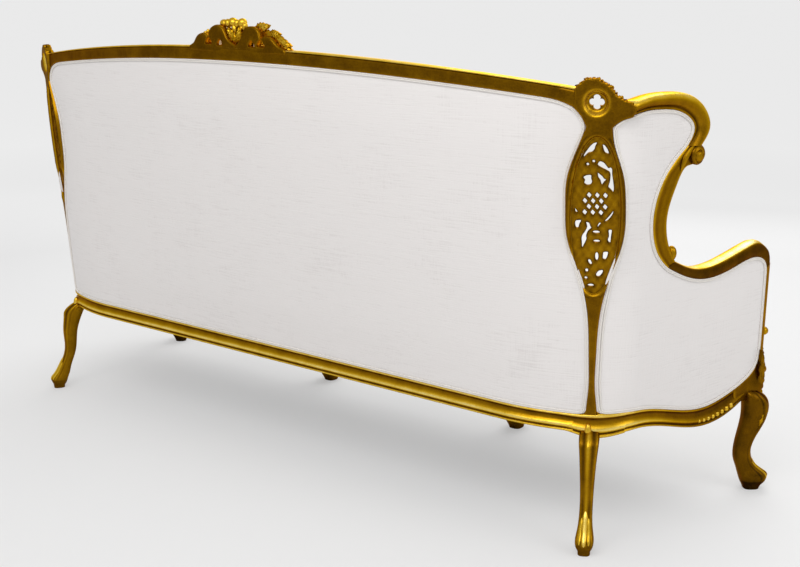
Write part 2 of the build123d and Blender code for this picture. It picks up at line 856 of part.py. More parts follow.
def seat_platform():
    rear = rear_face_y - rear_rail_thickness
    corner = post_base - post_out * (post_thickness + 2.5 * platform_margin) - post_along * stem_width
    front = side_point(stump_foot - stump_depth, side_frame_thickness + platform_margin)
    side = side_point(platform_corner, side_rail_thickness)
    outline = [
        (0, front_face_y + platform_lap), (front.X - platform_margin, front_face_y + platform_lap),
        (front.X, front.Y + platform_margin), (side.X, side.Y),
        (corner.X, corner.Y), (rear_straight_half, rear), (0, rear),
    ]
    half = extrude(Pos(0, 0, platform_low) * face(Polyline(*outline, outline[0])), amount=platform_thickness)
    return solid(half + mirrored(half))


cushion_low = platform_high + soft_clearance
pad_depth = pad_start + back_pad_edge + back_pad_crown * 0.75


def cushion_back(x):
    return back_y(x, cushion_low) - pad_depth


def cushion(corners):
    """Loose squab with a crowned top and sides drawn in between its corners."""
    middle = sum(corners, Vector(0, 0, 0)) / len(corners)
    seam = cushion_seam_inset
    crown = cushion_crown / cushion_height
    stations = [
        (0, seam), (0.06, seam / 3), (0.16, 0), (0.84, 0), (0.94, seam / 3), (1, seam),
        (1 + 0.5 * crown, 5 * seam), (1 + crown, 12.5 * seam),
    ]
    sections = []
    for share, inset in stations:
        ring = [p + (middle - p).normalized() * inset * 1.4 for p in corners]
        waist = cushion_draw * (1 + 0.5 * math.sin(math.pi * min(1, share)))
        sides = []
        for i, start in enumerate(ring):
            end = ring[(i + 1) % len(ring)]
            centre = (start + end) / 2
            across = (end - start).normalized()
            inward = Vector(-across.Y, across.X, 0)
            sides.append(ThreePointArc(start, centre + inward * waist, end))
        sections.append(Pos(0, 0, cushion_low + share * cushion_height) * face(*sides))
    return solid(loft(sections, ruled=True))


def seat_cushions():
    inner = centre_cushion_half
    gap = cushion_gap / 2
    side_depth = side_pad_start + side_pad_edge + side_pad_crown + 2
    rear_s = (side_start_y - cushion_back(rear_straight_half + 150)) / -side_along.Y
    rear_outer = side_point(rear_s, side_depth + tuck(rear_s, 0))
    front_outer = side_point((side_start_y - cushion_front_y) / -side_along.Y, side_depth)
    centre = cushion([
        Vector(-inner, cushion_front_y, 0), Vector(inner, cushion_front_y, 0),
        Vector(inner, cushion_back(inner), 0), Vector(-inner, cushion_back(inner), 0),
    ])
    left = cushion([
        Vector(inner + 2 * gap, cushion_front_y, 0), Vector(front_outer.X, cushion_front_y, 0),
        Vector(rear_outer.X, rear_outer.Y - 12, 0), Vector(inner + 2 * gap, cushion_back(inner), 0),
    ])
    return left, centre, mirrored(left)


# Hidden strengthening and fixings

def cross_rails():
    front = front_face_y + front_rail_thickness
    rear = rear_face_y - rear_rail_thickness
    low = rail_bottom + dust_cover_thickness + dust_cover_rise + cross_rail_drop
    return [
        Pos(side * upright_spacing, (front + rear) / 2, (low + rail_top - cross_rail_drop) / 2) * Box(
            cross_rail_width, rear - front, rail_top - cross_rail_drop - low)
        for side in (1, -1)
    ]


def dust_cover():
    front = front_face_y + front_rail_thickness + soft_clearance
    rear = rear_face_y - rear_rail_thickness - soft_clearance
    near = side_point(front_head_back - dust_cover_corner, side_rail_thickness + dust_cover_margin)
    far_end = side_point(dust_cover_corner, side_rail_thickness + dust_cover_margin)
    outline = [
        (0, front), (near.X - dust_cover_corner, front), (near.X - dust_cover_margin, near.Y),
        (far_end.X, far_end.Y), (rear_straight_half, rear), (0, rear),
    ]
    half = extrude(
        Pos(0, 0, rail_bottom + dust_cover_rise) * face(Polyline(*outline, outline[0])),
        amount=dust_cover_thickness,
    )
    return solid(half + mirrored(half))


def rear_block(cut):
    low = rail_top - block_height - block_drop
    outline = [
        (post_base_x - block_leg, rear_y(post_base_x - block_leg) - block_bite), (post_base_x, post_base_y),
        tuple(side_point(block_leg, block_bite))[:2],
    ]
    shape = extrude(Pos(0, 0, low) * face(Polyline(*outline, outline[0])), amount=block_height)
    for other in cut:
        shape -= other
    return solid(shape)


def front_block(cut):
    low = front_rail_bottom - front_head_drop
    outline = [
        (front_foot_x - block_leg - block_front_inset, front_face_y + block_bite),
        tuple(side_point(front_head_back + block_bite, block_bite))[:2],
        tuple(side_point(front_head_back - block_leg, block_bite))[:2],
    ]
    shape = extrude(Pos(0, 0, low) * face(Polyline(*outline, outline[0])), amount=block_height)
    for other in cut:
        shape -= other
    return solid(shape)


def dowel(place, along):
    """A plain dowel centred on a joint."""
    return Plane(place, z_dir=along) * Cylinder(dowel_diameter / 2, 2 * dowel_half)


def screw(place, along):
    """A countersunk wood screw driven along a direction, its point in the rail."""
    shank = Cylinder(screw_diameter / 2, screw_length, align=(Align.CENTER, Align.CENTER, Align.MAX))
    head = Cone(
        screw_diameter / 2, screw_head / 2, (screw_head - screw_diameter) / 2,
        align=(Align.CENTER, Align.CENTER, Align.MIN),
    )
    return Plane(place, z_dir=along * -1) * (shank + head)


def screw_space(place, along):
    """The hole of a screw with the counterbore that lets its head in."""
    bore = Cylinder(screw_head / 2 + 0.5, far / 10, align=(Align.CENTER, Align.CENTER, Align.MIN))
    return screw(place, along) + Plane(place, z_dir=along * -1) * bore


def drilled(piece, holes):
    for hole in holes:
        piece = piece - hole
    return solid(piece)


# Left half of the show-wood, then the pieces on the centre line
corner_foot = Vector(front_foot_x, front_foot_y, 0)
middle_foot = Vector(middle_foot_x, front_foot_y, 0)
forward = Vector(0, -1, 0)
leg_rear = rear_leg()
leg_front = front_leg(corner_foot, diagonal, front_head)
leg_middle = front_leg(middle_foot, forward)
post = solid(corner_post() - leg_rear)
splat = post_splat()
wing = wing_rail()
scroll = wing_scroll()
arm = arm_rail()
stump = arm_stump(leg_front)
rail_rear = rear_rail()
rail_front = front_rail([leg_front, mirrored(leg_front)])
rail_side = side_seat_rail(leg_front, rail_front)
rail_over = top_rail()
crest_board = crest(rail_over)
rail_rear = solid(rail_rear - leg_rear - mirrored(leg_rear))
rail_side = solid(rail_side - leg_rear)

# Upholstery
back_panel, back_piping = back_covering()
side_panel, side_piping = side_covering()
back_piping = solid(back_piping - post - splat - mirrored(post) - mirrored(splat))
side_panel = solid(side_panel - leg_front - stump)
side_piping = solid(side_piping - leg_front - stump)
uprights = back_uprights(rail_over)
stays = back_stay_rails(uprights)
side_stay = side_stay_rail(stump)
pad_back = back_pad()
pad_side = side_pad(scroll)
platform = seat_platform()
cushion_left, cushion_centre, cushion_right = seat_cushions()
crosses = cross_rails()
cover = dust_cover()

# Dowels at the standing joints, with holes in both pieces
up = Vector(0, 0, 1)
post_dowel_place = post_plan.from_local_coords((stem_centre, -post_thickness / 2, rail_top))
stump_dowel_place = side_plan.from_local_coords(
    (stump_foot - stump_face - stump_depth / 2, -side_frame_thickness * 0.6, rail_top))
leg_dowel_place = Vector(middle_foot_x, front_face_y + front_rail_thickness / 2, front_rail_bottom)
crest_dowel_place = Vector(
    crest_lobe_offset, top_y(crest_lobe_offset) - crest_thickness / 2, top_arch_centre - 1)
left_dowels = [
    dowel(place, up) for place in (post_dowel_place, stump_dowel_place, leg_dowel_place, crest_dowel_place)
]
cross_places = [
    Vector(side * upright_spacing, y, (rail_bottom + rail_top) / 2 + 1)
    for side in (1, -1)
    for y in (front_face_y + front_rail_thickness, rear_face_y - rear_rail_thickness)
]
cross_dowels = [dowel(place, forward) for place in cross_places]
dowels = left_dowels + [mirrored(d) for d in left_dowels] + cross_dowels
post = drilled(post, left_dowels[:1])
leg_rear = drilled(leg_rear, left_dowels[:1])
stump = drilled(stump, left_dowels[1:2])
leg_front = drilled(leg_front, left_dowels[1:2])
leg_middle = drilled(leg_middle, left_dowels[2:3])
rail_front = drilled(rail_front, dowels)
rail_rear = drilled(rail_rear, cross_dowels)
rail_over = drilled(rail_over, dowels)
crest_board = drilled(crest_board, dowels)
crosses = [drilled(piece, cross_dowels) for piece in crosses]

# Corner blocks with two screws each
blocks = [rear_block([rail_rear, rail_side, leg_rear]), front_block([rail_front, rail_side, leg_front])]
screw_z = [rail_top - block_drop - block_height / 2, front_rail_bottom - front_head_drop + block_height / 2]
rear_screw_x = post_base_x - 0.45 * block_leg
front_screw_x = front_foot_x - block_front_inset - 0.45 * block_leg
rear_seat = side_point(0.62 * block_leg, side_rail_thickness + screw_grip)
front_seat = side_point(front_head_back - 0.45 * block_leg, side_rail_thickness + screw_grip)
screw_seats = [
    (Vector(rear_screw_x, rear_y(rear_screw_x) - rear_rail_thickness - screw_grip, screw_z[0]), forward * -1),
    (Vector(rear_seat.X, rear_seat.Y, screw_z[0]), side_out),
    (Vector(front_screw_x, front_face_y + front_rail_thickness + screw_grip, screw_z[1]), forward),
    (Vector(front_seat.X, front_seat.Y, screw_z[1]), side_out),
]
left_screws = [screw(*seat) for seat in screw_seats]
spaces = [screw_space(*seat) for seat in screw_seats]
both_spaces = spaces + [mirrored(space) for space in spaces]
blocks = [drilled(piece, spaces) for piece in blocks]
rail_rear = drilled(rail_rear, both_spaces)
rail_front = drilled(rail_front, both_spaces)
rail_side = drilled(rail_side, spaces)
leg_rear = drilled(leg_rear, spaces)
leg_front = drilled(leg_front, spaces)

pieces = {}


def single(name, shape):
    pieces[name] = shape.solids()


def pair(name, shape):
    """A left piece and its mirrored right-hand twin."""
    single(name + "_left", shape)
    single(name + "_right", mirrored(shape))


def group(name, shapes):
    """Like pieces kept as separate solids in one node."""
    pieces[name] = [piece for shape in shapes for piece in shape.solids()]


pair("rear_leg", leg_rear)
pair("front_corner_leg", leg_front)
pair("front_middle_leg", leg_middle)
pair("corner_post", post)
pair("post_splat", splat)
pair("wing_rail", wing)
pair("wing_scroll", scroll)
pair("arm_rail", arm)
pair("arm_stump", stump)
pair("side_seat_rail", rail_side)
single("rear_seat_rail", rail_rear)
single("front_seat_rail", rail_front)
single("back_top_rail", rail_over)
single("crest_carving", crest_board)
group("seat_cross_rails", crosses)
group("corner_blocks", blocks + [mirrored(piece) for piece in blocks])
group("block_screws", left_screws + [mirrored(piece) for piece in left_screws])
group("frame_dowels", dowels)
group("back_uprights", uprights)
group("back_stay_rails", stays)
pair("side_stay_rail", side_stay)
group("seat_webbing", seat_webbing())
group("back_webbing", back_webbing())
single("seat_platform", platform)
single("seat_cushion_left", cushion_left)
single("seat_cushion_centre", cushion_centre)
single("seat_cushion_right", cushion_right)
single("inside_back_pad", pad_back)
pair("inside_side_pad", pad_side)
single("outside_back_panel", back_panel)
pair("outside_side_panel", side_panel)
single("back_piping", back_piping)
pair("side_piping", side_piping)
single("dust_cover", cover)

# The origin lies on the floor under the middle of the whole sofa
boxes = [piece.bounding_box() for solids in pieces.values() for piece in solids]
middle_y = (min(box.min.Y for box in boxes) + max(box.max.Y for box in boxes)) / 2
centred = Pos(0, -middle_y, 0)
os.makedirs("parts", exist_ok=True)
for name, solids in pieces.items():
    export_step(Compound([centred * piece for piece in solids]), f"parts/{name}.step")
print("moved back to the centre by", round(middle_y, 3))
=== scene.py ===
import functools
import math
import operator

import bmesh
import bpy
import numpy as np
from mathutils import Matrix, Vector, geometry
from mathutils.bvhtree import BVHTree


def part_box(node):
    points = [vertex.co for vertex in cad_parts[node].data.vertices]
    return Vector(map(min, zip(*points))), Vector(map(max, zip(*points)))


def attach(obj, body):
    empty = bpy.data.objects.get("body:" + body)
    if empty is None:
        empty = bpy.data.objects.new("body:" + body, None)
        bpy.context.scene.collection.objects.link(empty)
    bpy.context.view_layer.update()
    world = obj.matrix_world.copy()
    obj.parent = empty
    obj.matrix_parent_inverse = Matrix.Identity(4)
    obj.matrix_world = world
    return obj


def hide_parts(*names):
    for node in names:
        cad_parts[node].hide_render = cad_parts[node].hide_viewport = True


# Looks of a baroque three-seat sofa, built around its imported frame.
# Shapes are drawn in millimetres from the sofa's own planes and turned to metres at the end.

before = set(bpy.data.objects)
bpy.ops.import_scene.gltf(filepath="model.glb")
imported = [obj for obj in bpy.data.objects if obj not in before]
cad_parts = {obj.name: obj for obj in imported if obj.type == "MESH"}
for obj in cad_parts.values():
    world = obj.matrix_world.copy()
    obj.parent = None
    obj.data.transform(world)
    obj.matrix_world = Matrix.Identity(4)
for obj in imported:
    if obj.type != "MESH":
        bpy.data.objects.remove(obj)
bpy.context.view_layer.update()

MM = 0.001

# Sizes of the sofa, as in the construction where it has them
rail_top = 320.0
rail_bottom = 274.0
rear_face_y = 308.0
rear_straight_half = 747.0
rear_corner_radius = 516.0
rear_rail_thickness = 45.0
rear_rail_half = 934.0
front_face_y = -324.0
front_foot_y = -316.0
corner_foot_x = 1124.0
rear_foot = np.array((1003.0, 316.0, 0.0))
front_rail_thickness = 42.0
front_rail_half = 1092.0
leg_bay = 750.0
post_base = np.array((965.0, 255.0, rail_top))
post_turn = math.radians(27.0)
post_lean = math.radians(4.5)
post_thickness = 24.0
oval_centre = (3.0, 477.0)
oval_half = (54.0, 180.0)
splat_inset = 7.0
splat_thickness = 10.0
lattice_pitch = (18.0, 13.2)
rosette_centre = np.array((-1.0, 734.0))
rosette_radius = 32.0
rosette_depth = 13.0
foil_reach = 17.0
side_base = np.array((1030.0, 245.0, rail_top))
side_turn = math.radians(9.0)
side_tilt = math.radians(2.5)
side_corner_radius = 97.0
side_rail_thickness = 40.0
head_low = 262.0
head_high = 319.0
board_thickness = 30.0
arm_thickness = 46.0
scroll_knob = (229.0, 599.0)
stump_low = -14.0
top_bow = 130.0
top_end_y = 310.0
top_end_x = 993.0
level_top = 1105.0
top_rail_front = 26.0
top_rail_half = 950.0
arch_half = 930.0
upper_arch_ends = 1086.0
upper_arch_middle = 1142.0
lower_arch_ends = 1053.0
corner_drop = 14.0
corner_drop_start = 880.0
corner_drop_run = 66.0
crest_thickness = 20.0
panel_recess = 3.0
panel_inner = 9.0
piping_radius = 2.2
pad_start = 30.8
side_pad_start = 30.4
pad_low = 350.8
cushion_front_y = -345.0
cushion_rear_y = 212.9
centre_cushion_half = 318.0
outer_cushion_start = 321.0
webbing_width = 50.0
webbing_pitch = 130.0
webbing_start = 28.4
back_strap_low = 391.0
back_strap_high = 1098.0

# Sizes and counts of the looks alone
flat_gild = 0.27
piping_depth = 1.4
border_radius = 4.0
welt_radius = 4.2
panel_bulge = 4.0
cover_lap = 11.0
seam_heights = (14.0, 88.0)
# A cushion's edge before it swells: height and how far it is drawn in
cushion_levels = ((0, 16), (6, 7), (16, 4), (84, 4), (93, 7), (99, 16))
cloth_frames = 20

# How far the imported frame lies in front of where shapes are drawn
shift_y = rear_face_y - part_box("rear_seat_rail")[1].y / MM


# Curves

def run_of(line):
    """How far along a line each of its points lies."""
    return np.concatenate(([0], np.cumsum(np.linalg.norm(np.diff(line, axis=0), axis=1))))


def read_off(line, run, at):
    """The points at some places along a line."""
    return np.stack([np.interp(at, run, column) for column in line.T], -1)


def curve(points, count=0, step=5.0):
    """Evenly spaced points on a natural cubic curve through the given ones."""
    points = np.array(points, float)
    t = run_of(points)
    n = len(points)
    h = np.diff(t)
    system = np.eye(n)
    pull = np.zeros((n, points.shape[1]))
    slope = np.diff(points, axis=0) / h[:, None]
    for i in range(1, n - 1):
        system[i, i - 1:i + 2] = h[i - 1], 2 * (h[i - 1] + h[i]), h[i]
        pull[i] = 6 * (slope[i] - slope[i - 1])
    bend = np.linalg.solve(system, pull)
    fine = np.linspace(0, t[-1], 40 * n)
    k = np.clip(np.searchsorted(t, fine) - 1, 0, n - 2)
    a = (t[k + 1] - fine)[:, None]
    b = (fine - t[k])[:, None]
    w = h[k][:, None]
    line = (bend[k] * a ** 3 + bend[k + 1] * b ** 3) / (6 * w)
    line += (points[k] / w - bend[k] * w / 6) * a + (points[k + 1] / w - bend[k + 1] * w / 6) * b
    return evenly(line, count, step)


def evenly(line, count=0, step=5.0):
    """A run of points spaced evenly along a line."""
    line = np.array(line, float)
    run = run_of(line)
    count = count or max(2, int(round(run[-1] / step)) + 1)
    return read_off(line, run, np.linspace(0, run[-1], count))


def along(line, share):
    """The point at a share of a line's points."""
    return read_off(line, np.arange(len(line)), np.clip(share, 0, 1) * (len(line) - 1))


def loop_of(*runs, step=5.0):
    """A closed outline from runs that meet end to end."""
    line = np.concatenate(runs)
    keep = np.linalg.norm(line - np.roll(line, 1, 0), axis=1) > 0.05
    line = line[keep]
    closed = evenly(np.concatenate((line, line[:1])), step=step)[:-1]
    x, y = closed.T
    area = np.sum(x * np.roll(y, -1) - y * np.roll(x, -1))
    return closed if area > 0 else closed[::-1]


def normals_in(loop):
    """Unit directions into a closed outline that runs anticlockwise."""
    ahead = np.roll(loop, -1, 0) - np.roll(loop, 1, 0)
    ahead /= np.linalg.norm(ahead, axis=1)[:, None] + 1e-9
    return np.stack((-ahead[:, 1], ahead[:, 0]), 1)


def beside(line):
    """Unit directions to the left of an open line."""
    ahead = np.gradient(line, axis=0)
    return np.stack((-ahead[:, 1], ahead[:, 0]), 1) / np.linalg.norm(ahead, axis=1)[:, None]


def line_at(xs, heights):
    """Points across and up, from two rows or a row and one height."""
    return np.stack(np.broadcast_arrays(xs, heights), 1).astype(float)


def inset(loop, reach):
    return loop + normals_in(loop) * reach


def soften(loop, times=2):
    for _ in range(times):
        loop = (np.roll(loop, 1, 0) + 2 * loop + np.roll(loop, -1, 0)) / 4
    return loop


def turns(count):
    return np.linspace(0, 2 * math.pi, count, endpoint=False)


def ellipse(centre, half, turn=0.0, count=0, power=2.0):
    count = count or max(12, int(2 * math.pi * max(half) / 5))
    a = turns(count)
    x = half[0] * np.sign(np.cos(a)) * np.abs(np.cos(a)) ** (2 / power)
    y = half[1] * np.sign(np.sin(a)) * np.abs(np.sin(a)) ** (2 / power)
    c, s = math.cos(turn), math.sin(turn)
    return np.stack((centre[0] + c * x - s * y, centre[1] + s * x + c * y), 1)


# Edges of the side frame and the corner post, as forward or across and up
wing_outer = curve([(-34, 735), (56, 749), (106, 750), (200, 737), (262, 696), (277, 662), (249, 619)])
wing_inner = curve([(-34, 698), (36, 712), (85, 712), (175, 695), (213, 662), (191, 622)])
scroll_outer = curve([
    (249, 619), (258, 599), (234, 578), (202, 575), (170, 536), (142, 460), (159, 388), (185, 351)])
scroll_inner = curve([(191, 622), (152, 593), (116, 555), (85, 460), (114, 375), (155, 338)])
arm_top = curve([
    (185, 351), (277, 318), (322, 315), (435, 332), (493, 345), (528, 349), (562, 335), (580, 319),
    (586, 288)])
arm_under = curve([(155, 338), (270, 293), (327, 286), (441, 301), (536, 308), (559, 296), (570, 276)])
stump_line = evenly([(570, 276), (581, -12.5)], step=5)
rail_upper = curve([(-60, 0), (-4, 0), (61, 3), (204, -22.5), (356, -50), (509, -22.5), (540, -15)])
rail_lower = curve([
    (-60, -60), (-4, -60), (25, -55), (67, -48), (125, -51), (210, -70), (364, -104), (479, -89),
    (540, -64)])
knee_sweep = curve([
    (480, np.interp(480, *rail_upper.T)), (528, -13), (556, 4), (572, 26), (578, 55)])
post_right = curve([
    (19.5, -10), (19.5, 0), (14, 60), (14, 132), (20, 243), (41, 338), (68, 431), (70, 501),
    (61, 580), (39, 651), (36, 680)])
right_shoulder = curve([(36, 680), (50, 692), (79, 704)])
ear_top = curve([
    (86, 716), (82, 730), (62, 740), (44, 750), (29, 768), (8, 782), (-11, 788), (-32, 781), (-50, 764)])
left_shoulder = curve([(-50, 722), (-34, 704), (-22, 680)])
post_left = curve([
    (-22, 680), (-41, 630), (-63, 557), (-64, 497), (-61, 438), (-27, 332), (-8, 242),
    (-3, 132), (-3, 60), (-8.5, 0), (-8.5, -10)])


# Planes and surfaces: each takes two places on a surface and a depth under it

def outward(way):
    """Heading along a rail, to the left for 1 and to the right for -1."""
    return math.radians(90 - way * 90)


def direction(angle):
    """A level direction, turned from straight back."""
    return np.array((math.sin(angle), math.cos(angle), 0.0))


upright = np.array((0.0, 0.0, 1.0))
post_out = direction(post_turn)
post_along = np.array((post_out[1], -post_out[0], 0.0))
post_up = post_out * math.sin(post_lean) + upright * math.cos(post_lean)
post_in = np.cross(post_along, post_up)
side_along = np.array((math.sin(side_turn), -math.cos(side_turn), 0.0))
side_out = np.array((math.cos(side_turn), math.sin(side_turn), 0.0))
side_up = side_out * math.sin(side_tilt) + upright * math.cos(side_tilt)
side_in = np.cross(side_along, side_up)


def on_plane(base, along, up, inward):
    """A flat surface's places as points in the sofa."""
    def place(u, v, n):
        u, v, n = np.broadcast_arrays(u, v, n)
        return base + u[..., None] * along + v[..., None] * up + n[..., None] * inward
    return place


def turned_over(place, thickness):
    """The same board seen from its inner face."""
    return lambda u, v, n: place(u, v, thickness - n)


def stacked(x, y, z):
    return np.stack(np.broadcast_arrays(x, y, z), -1).astype(float)


def laid(place, spots, depth):
    """Spots on a surface as points in the sofa, at a depth under it."""
    return place(spots[..., 0], spots[..., 1], np.broadcast_to(depth, spots.shape[:-1]))


def smooth(value):
    value = np.clip(value, 0, 1)
    return value * value * (3 - 2 * value)


def hump(value, middle, spread):
    return np.exp(-((value - middle) / spread) ** 2)


def round_top(value):
    return np.sqrt(np.clip(1 - value ** 2, 0, 1))


def tuck(s, v):
    """How far the side turns in to meet the edge of the corner post."""
    start = np.interp(v, post_meets_side[:, 1], post_meets_side[:, 0])
    depth = np.interp(v, post_meets_side[:, 1], post_meets_side[:, 2])
    return depth * (1 - np.clip((s - start) / side_corner_radius, 0, 1)) ** 2


def rear_y(x):
    past = np.maximum(0.0, np.abs(x) - rear_straight_half)
    return rear_face_y - rear_corner_radius + np.sqrt(rear_corner_radius ** 2 - past ** 2)


def top_y(x):
    return top_end_y + top_bow * (1 - (x / top_end_x) ** 2)


def back_y(x, z):
    share = (z - rail_top) / (level_top - rail_top)
    return rear_y(x) + (top_y(x) - rear_y(x)) * share


on_post = on_plane(post_base, post_along, post_up, post_in)
on_side = on_plane(side_base, side_along, side_up, side_in)
post_side_edge = np.concatenate((post_right, right_shoulder[1:]))
post_meets_side = on_post(post_side_edge[:, 0], post_side_edge[:, 1], 0.0) - side_base
post_meets_side = post_meets_side @ np.stack((side_along, side_up, side_in), 1)


def on_tucked_side(s, v, n):
    return on_side(s, v, n + tuck(s, v))


def on_back(x, z, n):
    return stacked(x, back_y(x, z) - n, z)


def on_top_rail(x, z, n):
    return stacked(x, top_y(x) - n, z)


def on_rear_rail(x, z, n):
    return stacked(x, rear_y(x) - n, z)


def on_front_rail(x, z, n):
    return stacked(x, front_face_y + n, z)


# Shapes

class Shape:
    """Points in millimetres, faces, and how bright each point shows: its gilding, with painted highlights and
    painted shade laid into the same values.
    """

    def __init__(self, points, faces, gilt_and_painted_light=0.6):
        self.points = np.array(points, float).reshape(-1, 3)
        self.faces = list(faces)
        self.gilt_and_painted_light = np.resize(np.asarray(gilt_and_painted_light, float), len(self.points))

    def __add__(self, other):
        start = len(self.points)
        faces = self.faces + [tuple(i + start for i in f) for f in other.faces]
        points = np.concatenate((self.points, other.points))
        return Shape(points, faces, np.concatenate((self.gilt_and_painted_light, other.gilt_and_painted_light)))

    def mirrored(self):
        return Shape(self.points * (-1, 1, 1), [f[::-1] for f in self.faces], self.gilt_and_painted_light)


def joined(shapes):
    return functools.reduce(operator.add, shapes)


def darkened(shape, share):
    """The same shape, with its brightness values scaled down so it shows darker."""
    return Shape(shape.points, shape.faces, shape.gilt_and_painted_light * share)


def skin(rings, gilt_and_painted_light=0.6, capped=True):
    """Quads between closed rings of points that all have the same count."""
    rings = np.asarray(rings, float)
    k, m = rings.shape[:2]
    faces = []
    for i in range(k - 1):
        for j in range(m):
            a, b = i * m + j, i * m + (j + 1) % m
            faces.append((a, b, b + m, a + m))
    if capped:
        faces.append(tuple(range(m))[::-1])
        faces.append(tuple(range((k - 1) * m, k * m)))
    return Shape(rings.reshape(-1, 3), faces, np.broadcast_to(gilt_and_painted_light, (k, m)))


def tube(path, radius):
    """A round cord along a closed run of points in space."""
    path = np.asarray(path, float)
    sides = 8
    ahead = np.roll(path, -1, 0) - np.roll(path, 1, 0)
    ahead /= np.linalg.norm(ahead, axis=1)[:, None] + 1e-9
    side = np.zeros_like(path)
    last = np.cross(ahead[0], (0.3, 0.5, 0.8))
    for i, d in enumerate(ahead):
        last = last - d * np.dot(last, d)
        last /= np.linalg.norm(last)
        side[i] = last
    up = np.cross(ahead, side)
    a = turns(sides)
    rings = path[:, None] + radius * (np.cos(a)[:, None] * side[:, None] + np.sin(a)[:, None] * up[:, None])
    shape = skin(rings, capped=False)
    start = (len(path) - 1) * sides
    shift = int(np.argmin(np.linalg.norm(rings[-1][0] - rings[0], axis=1)))
    for j in range(sides):
        k = (j + 1) % sides
        shape.faces.append((start + j, start + k, (k + shift) % sides, (j + shift) % sides))
    return shape


def edge_distance(points, loop):
    start, along = loop, np.roll(loop, -1, 0) - loop
    length = (along ** 2).sum(1) + 1e-12
    best = np.empty(len(points))
    for low in range(0, len(points), 2000):
        from_start = points[low:low + 2000, None] - start[None]
        share = np.clip((from_start * along).sum(2) / length, 0, 1)
        gap = from_start - share[..., None] * along
        best[low:low + 2000] = np.sqrt((gap ** 2).sum(2).min(1))
    return best


def inside(points, loops):
    """Which points lie in an outline and outside its holes."""
    odd = np.zeros(len(points), bool)
    for loop in loops:
        (x1, y1), (x2, y2) = loop.T, np.roll(loop, -1, 0).T
        for low in range(0, len(points), 2000):
            x, y = points[low:low + 2000, 0:1], points[low:low + 2000, 1:2]
            spans = (y1 > y) != (y2 > y)
            with np.errstate(divide="ignore", invalid="ignore"):
                hit = spans & (x < (x2 - x1) * (y - y1) / (y2 - y1) + x1)
            odd[low:low + 2000] ^= hit.sum(1) % 2 == 1
    return odd


def plate(loops, place, outer, inner, spacing, rings=(), gilt_and_painted_light=None, guides=()):
    """A board over an outline with holes, between two depths that may vary over it."""
    points = list(loops) + list(guides)
    for reach in rings:
        for i, loop in enumerate(loops):
            moved = loop + normals_in(loop) * (reach if i == 0 else -reach)
            clear = np.min([edge_distance(moved, other) for other in loops], axis=0)
            points.append(moved[(clear > 0.9 * reach) & inside(moved, loops)])
    low, high = loops[0].min(0), loops[0].max(0)
    columns = np.arange(low[0], high[0], spacing)
    rows = np.arange(low[1], high[1], spacing * 0.87)
    grid = np.array([(x + spacing / 2 * (j % 2), y) for j, y in enumerate(rows) for x in columns])
    grid = grid[inside(grid, loops)]
    clear = np.min([edge_distance(grid, loop) for loop in loops], axis=0)
    points.append(grid[clear > max(rings, default=0) + 0.55 * spacing])
    edges, start = [], 0
    for loop in loops:
        n = len(loop)
        edges += [(start + i, start + (i + 1) % n) for i in range(n)]
        start += n
    flat = [Vector(p) for p in np.concatenate(points)]
    made = geometry.delaunay_2d_cdt(flat, edges, [], 0, 1e-4)
    uv = np.array([tuple(v) for v in made[0]])
    faces = np.array([f for f in made[2] if len(f) == 3])
    faces = faces[inside(uv[faces].mean(1), loops)]
    gaps = [edge_distance(uv, loop) for loop in loops]
    u, v = uv.T
    front = place(u, v, outer(u, v, gaps))
    back = place(u, v, inner(u, v, gaps))
    n = len(uv)
    walls = {}
    for a, b, c in faces:
        for edge in ((a, b), (b, c), (c, a)):
            walls[edge] = walls.pop(edge[::-1], None) is None and edge
    border = [e for e in walls if walls[e] and e[::-1] not in walls]
    made_faces = [tuple(f) for f in faces] + [tuple(f[::-1] + n) for f in faces]
    made_faces += [(b, a, a + n, b + n) for a, b in border]
    shine = np.full(n, 0.6) if gilt_and_painted_light is None else gilt_and_painted_light(u, v, gaps)
    return Shape(np.concatenate((front, back)), made_faces, np.concatenate((shine, shine)))


def strip(edge_a, edge_b, section, place, count=40):
    """A rail between two edges. Its section lists how far across, how deep and how bright."""
    a = evenly(edge_a, count)[:, None]
    b = evenly(edge_b, count)[:, None]
    across, depth, gilt_and_painted_light = np.array(section).T
    spot = a + (b - a) * across[None, :, None]
    return skin(laid(place, spot, depth), gilt_and_painted_light)


def rounded(face, thickness, back=0.5, edge=0.12):
    """A closed section: a moulded face, rounded corners and a plain rounded back."""
    ring = [tuple(p) for p in face]
    drop = edge * thickness * 2
    ring += [(1.0, thickness - drop, back), (1 - edge, thickness, back)]
    ring += [(0.5, thickness, back), (edge, thickness, back), (0.0, thickness - drop, back)]
    return ring


def boss(place, centre, radius, rise, relief, base=0.0, sides=28, steps=9, stretch=1.0, gilt_and_painted_light=1.0):
    """A round carving on a surface. Relief gives its height from radius and angle."""
    r = np.linspace(1, 0.04, steps)[:, None]
    a = turns(sides)[None]
    height = relief(r, a) * np.ones_like(r * a)
    u = centre[0] + radius * r * np.cos(a)
    v = centre[1] + radius * stretch * r * np.sin(a)
    depth = base - rise * height
    foot = place(u[:1], v[:1], np.full((1, sides), base + 2.0))
    rings = np.concatenate((foot, place(u, v, depth)))
    # The foot ring is dark, painted shade where the carving meets the surface; higher parts are brighter,
    # partly rubbed gilding and partly painted highlight.
    shine = np.concatenate((np.full((1, sides), 0.2), np.clip(0.25 + 0.75 * height, 0, 1)))
    return skin(rings, gilt_and_painted_light * shine)


def dome(r, a):
    return round_top(0.97 * r)


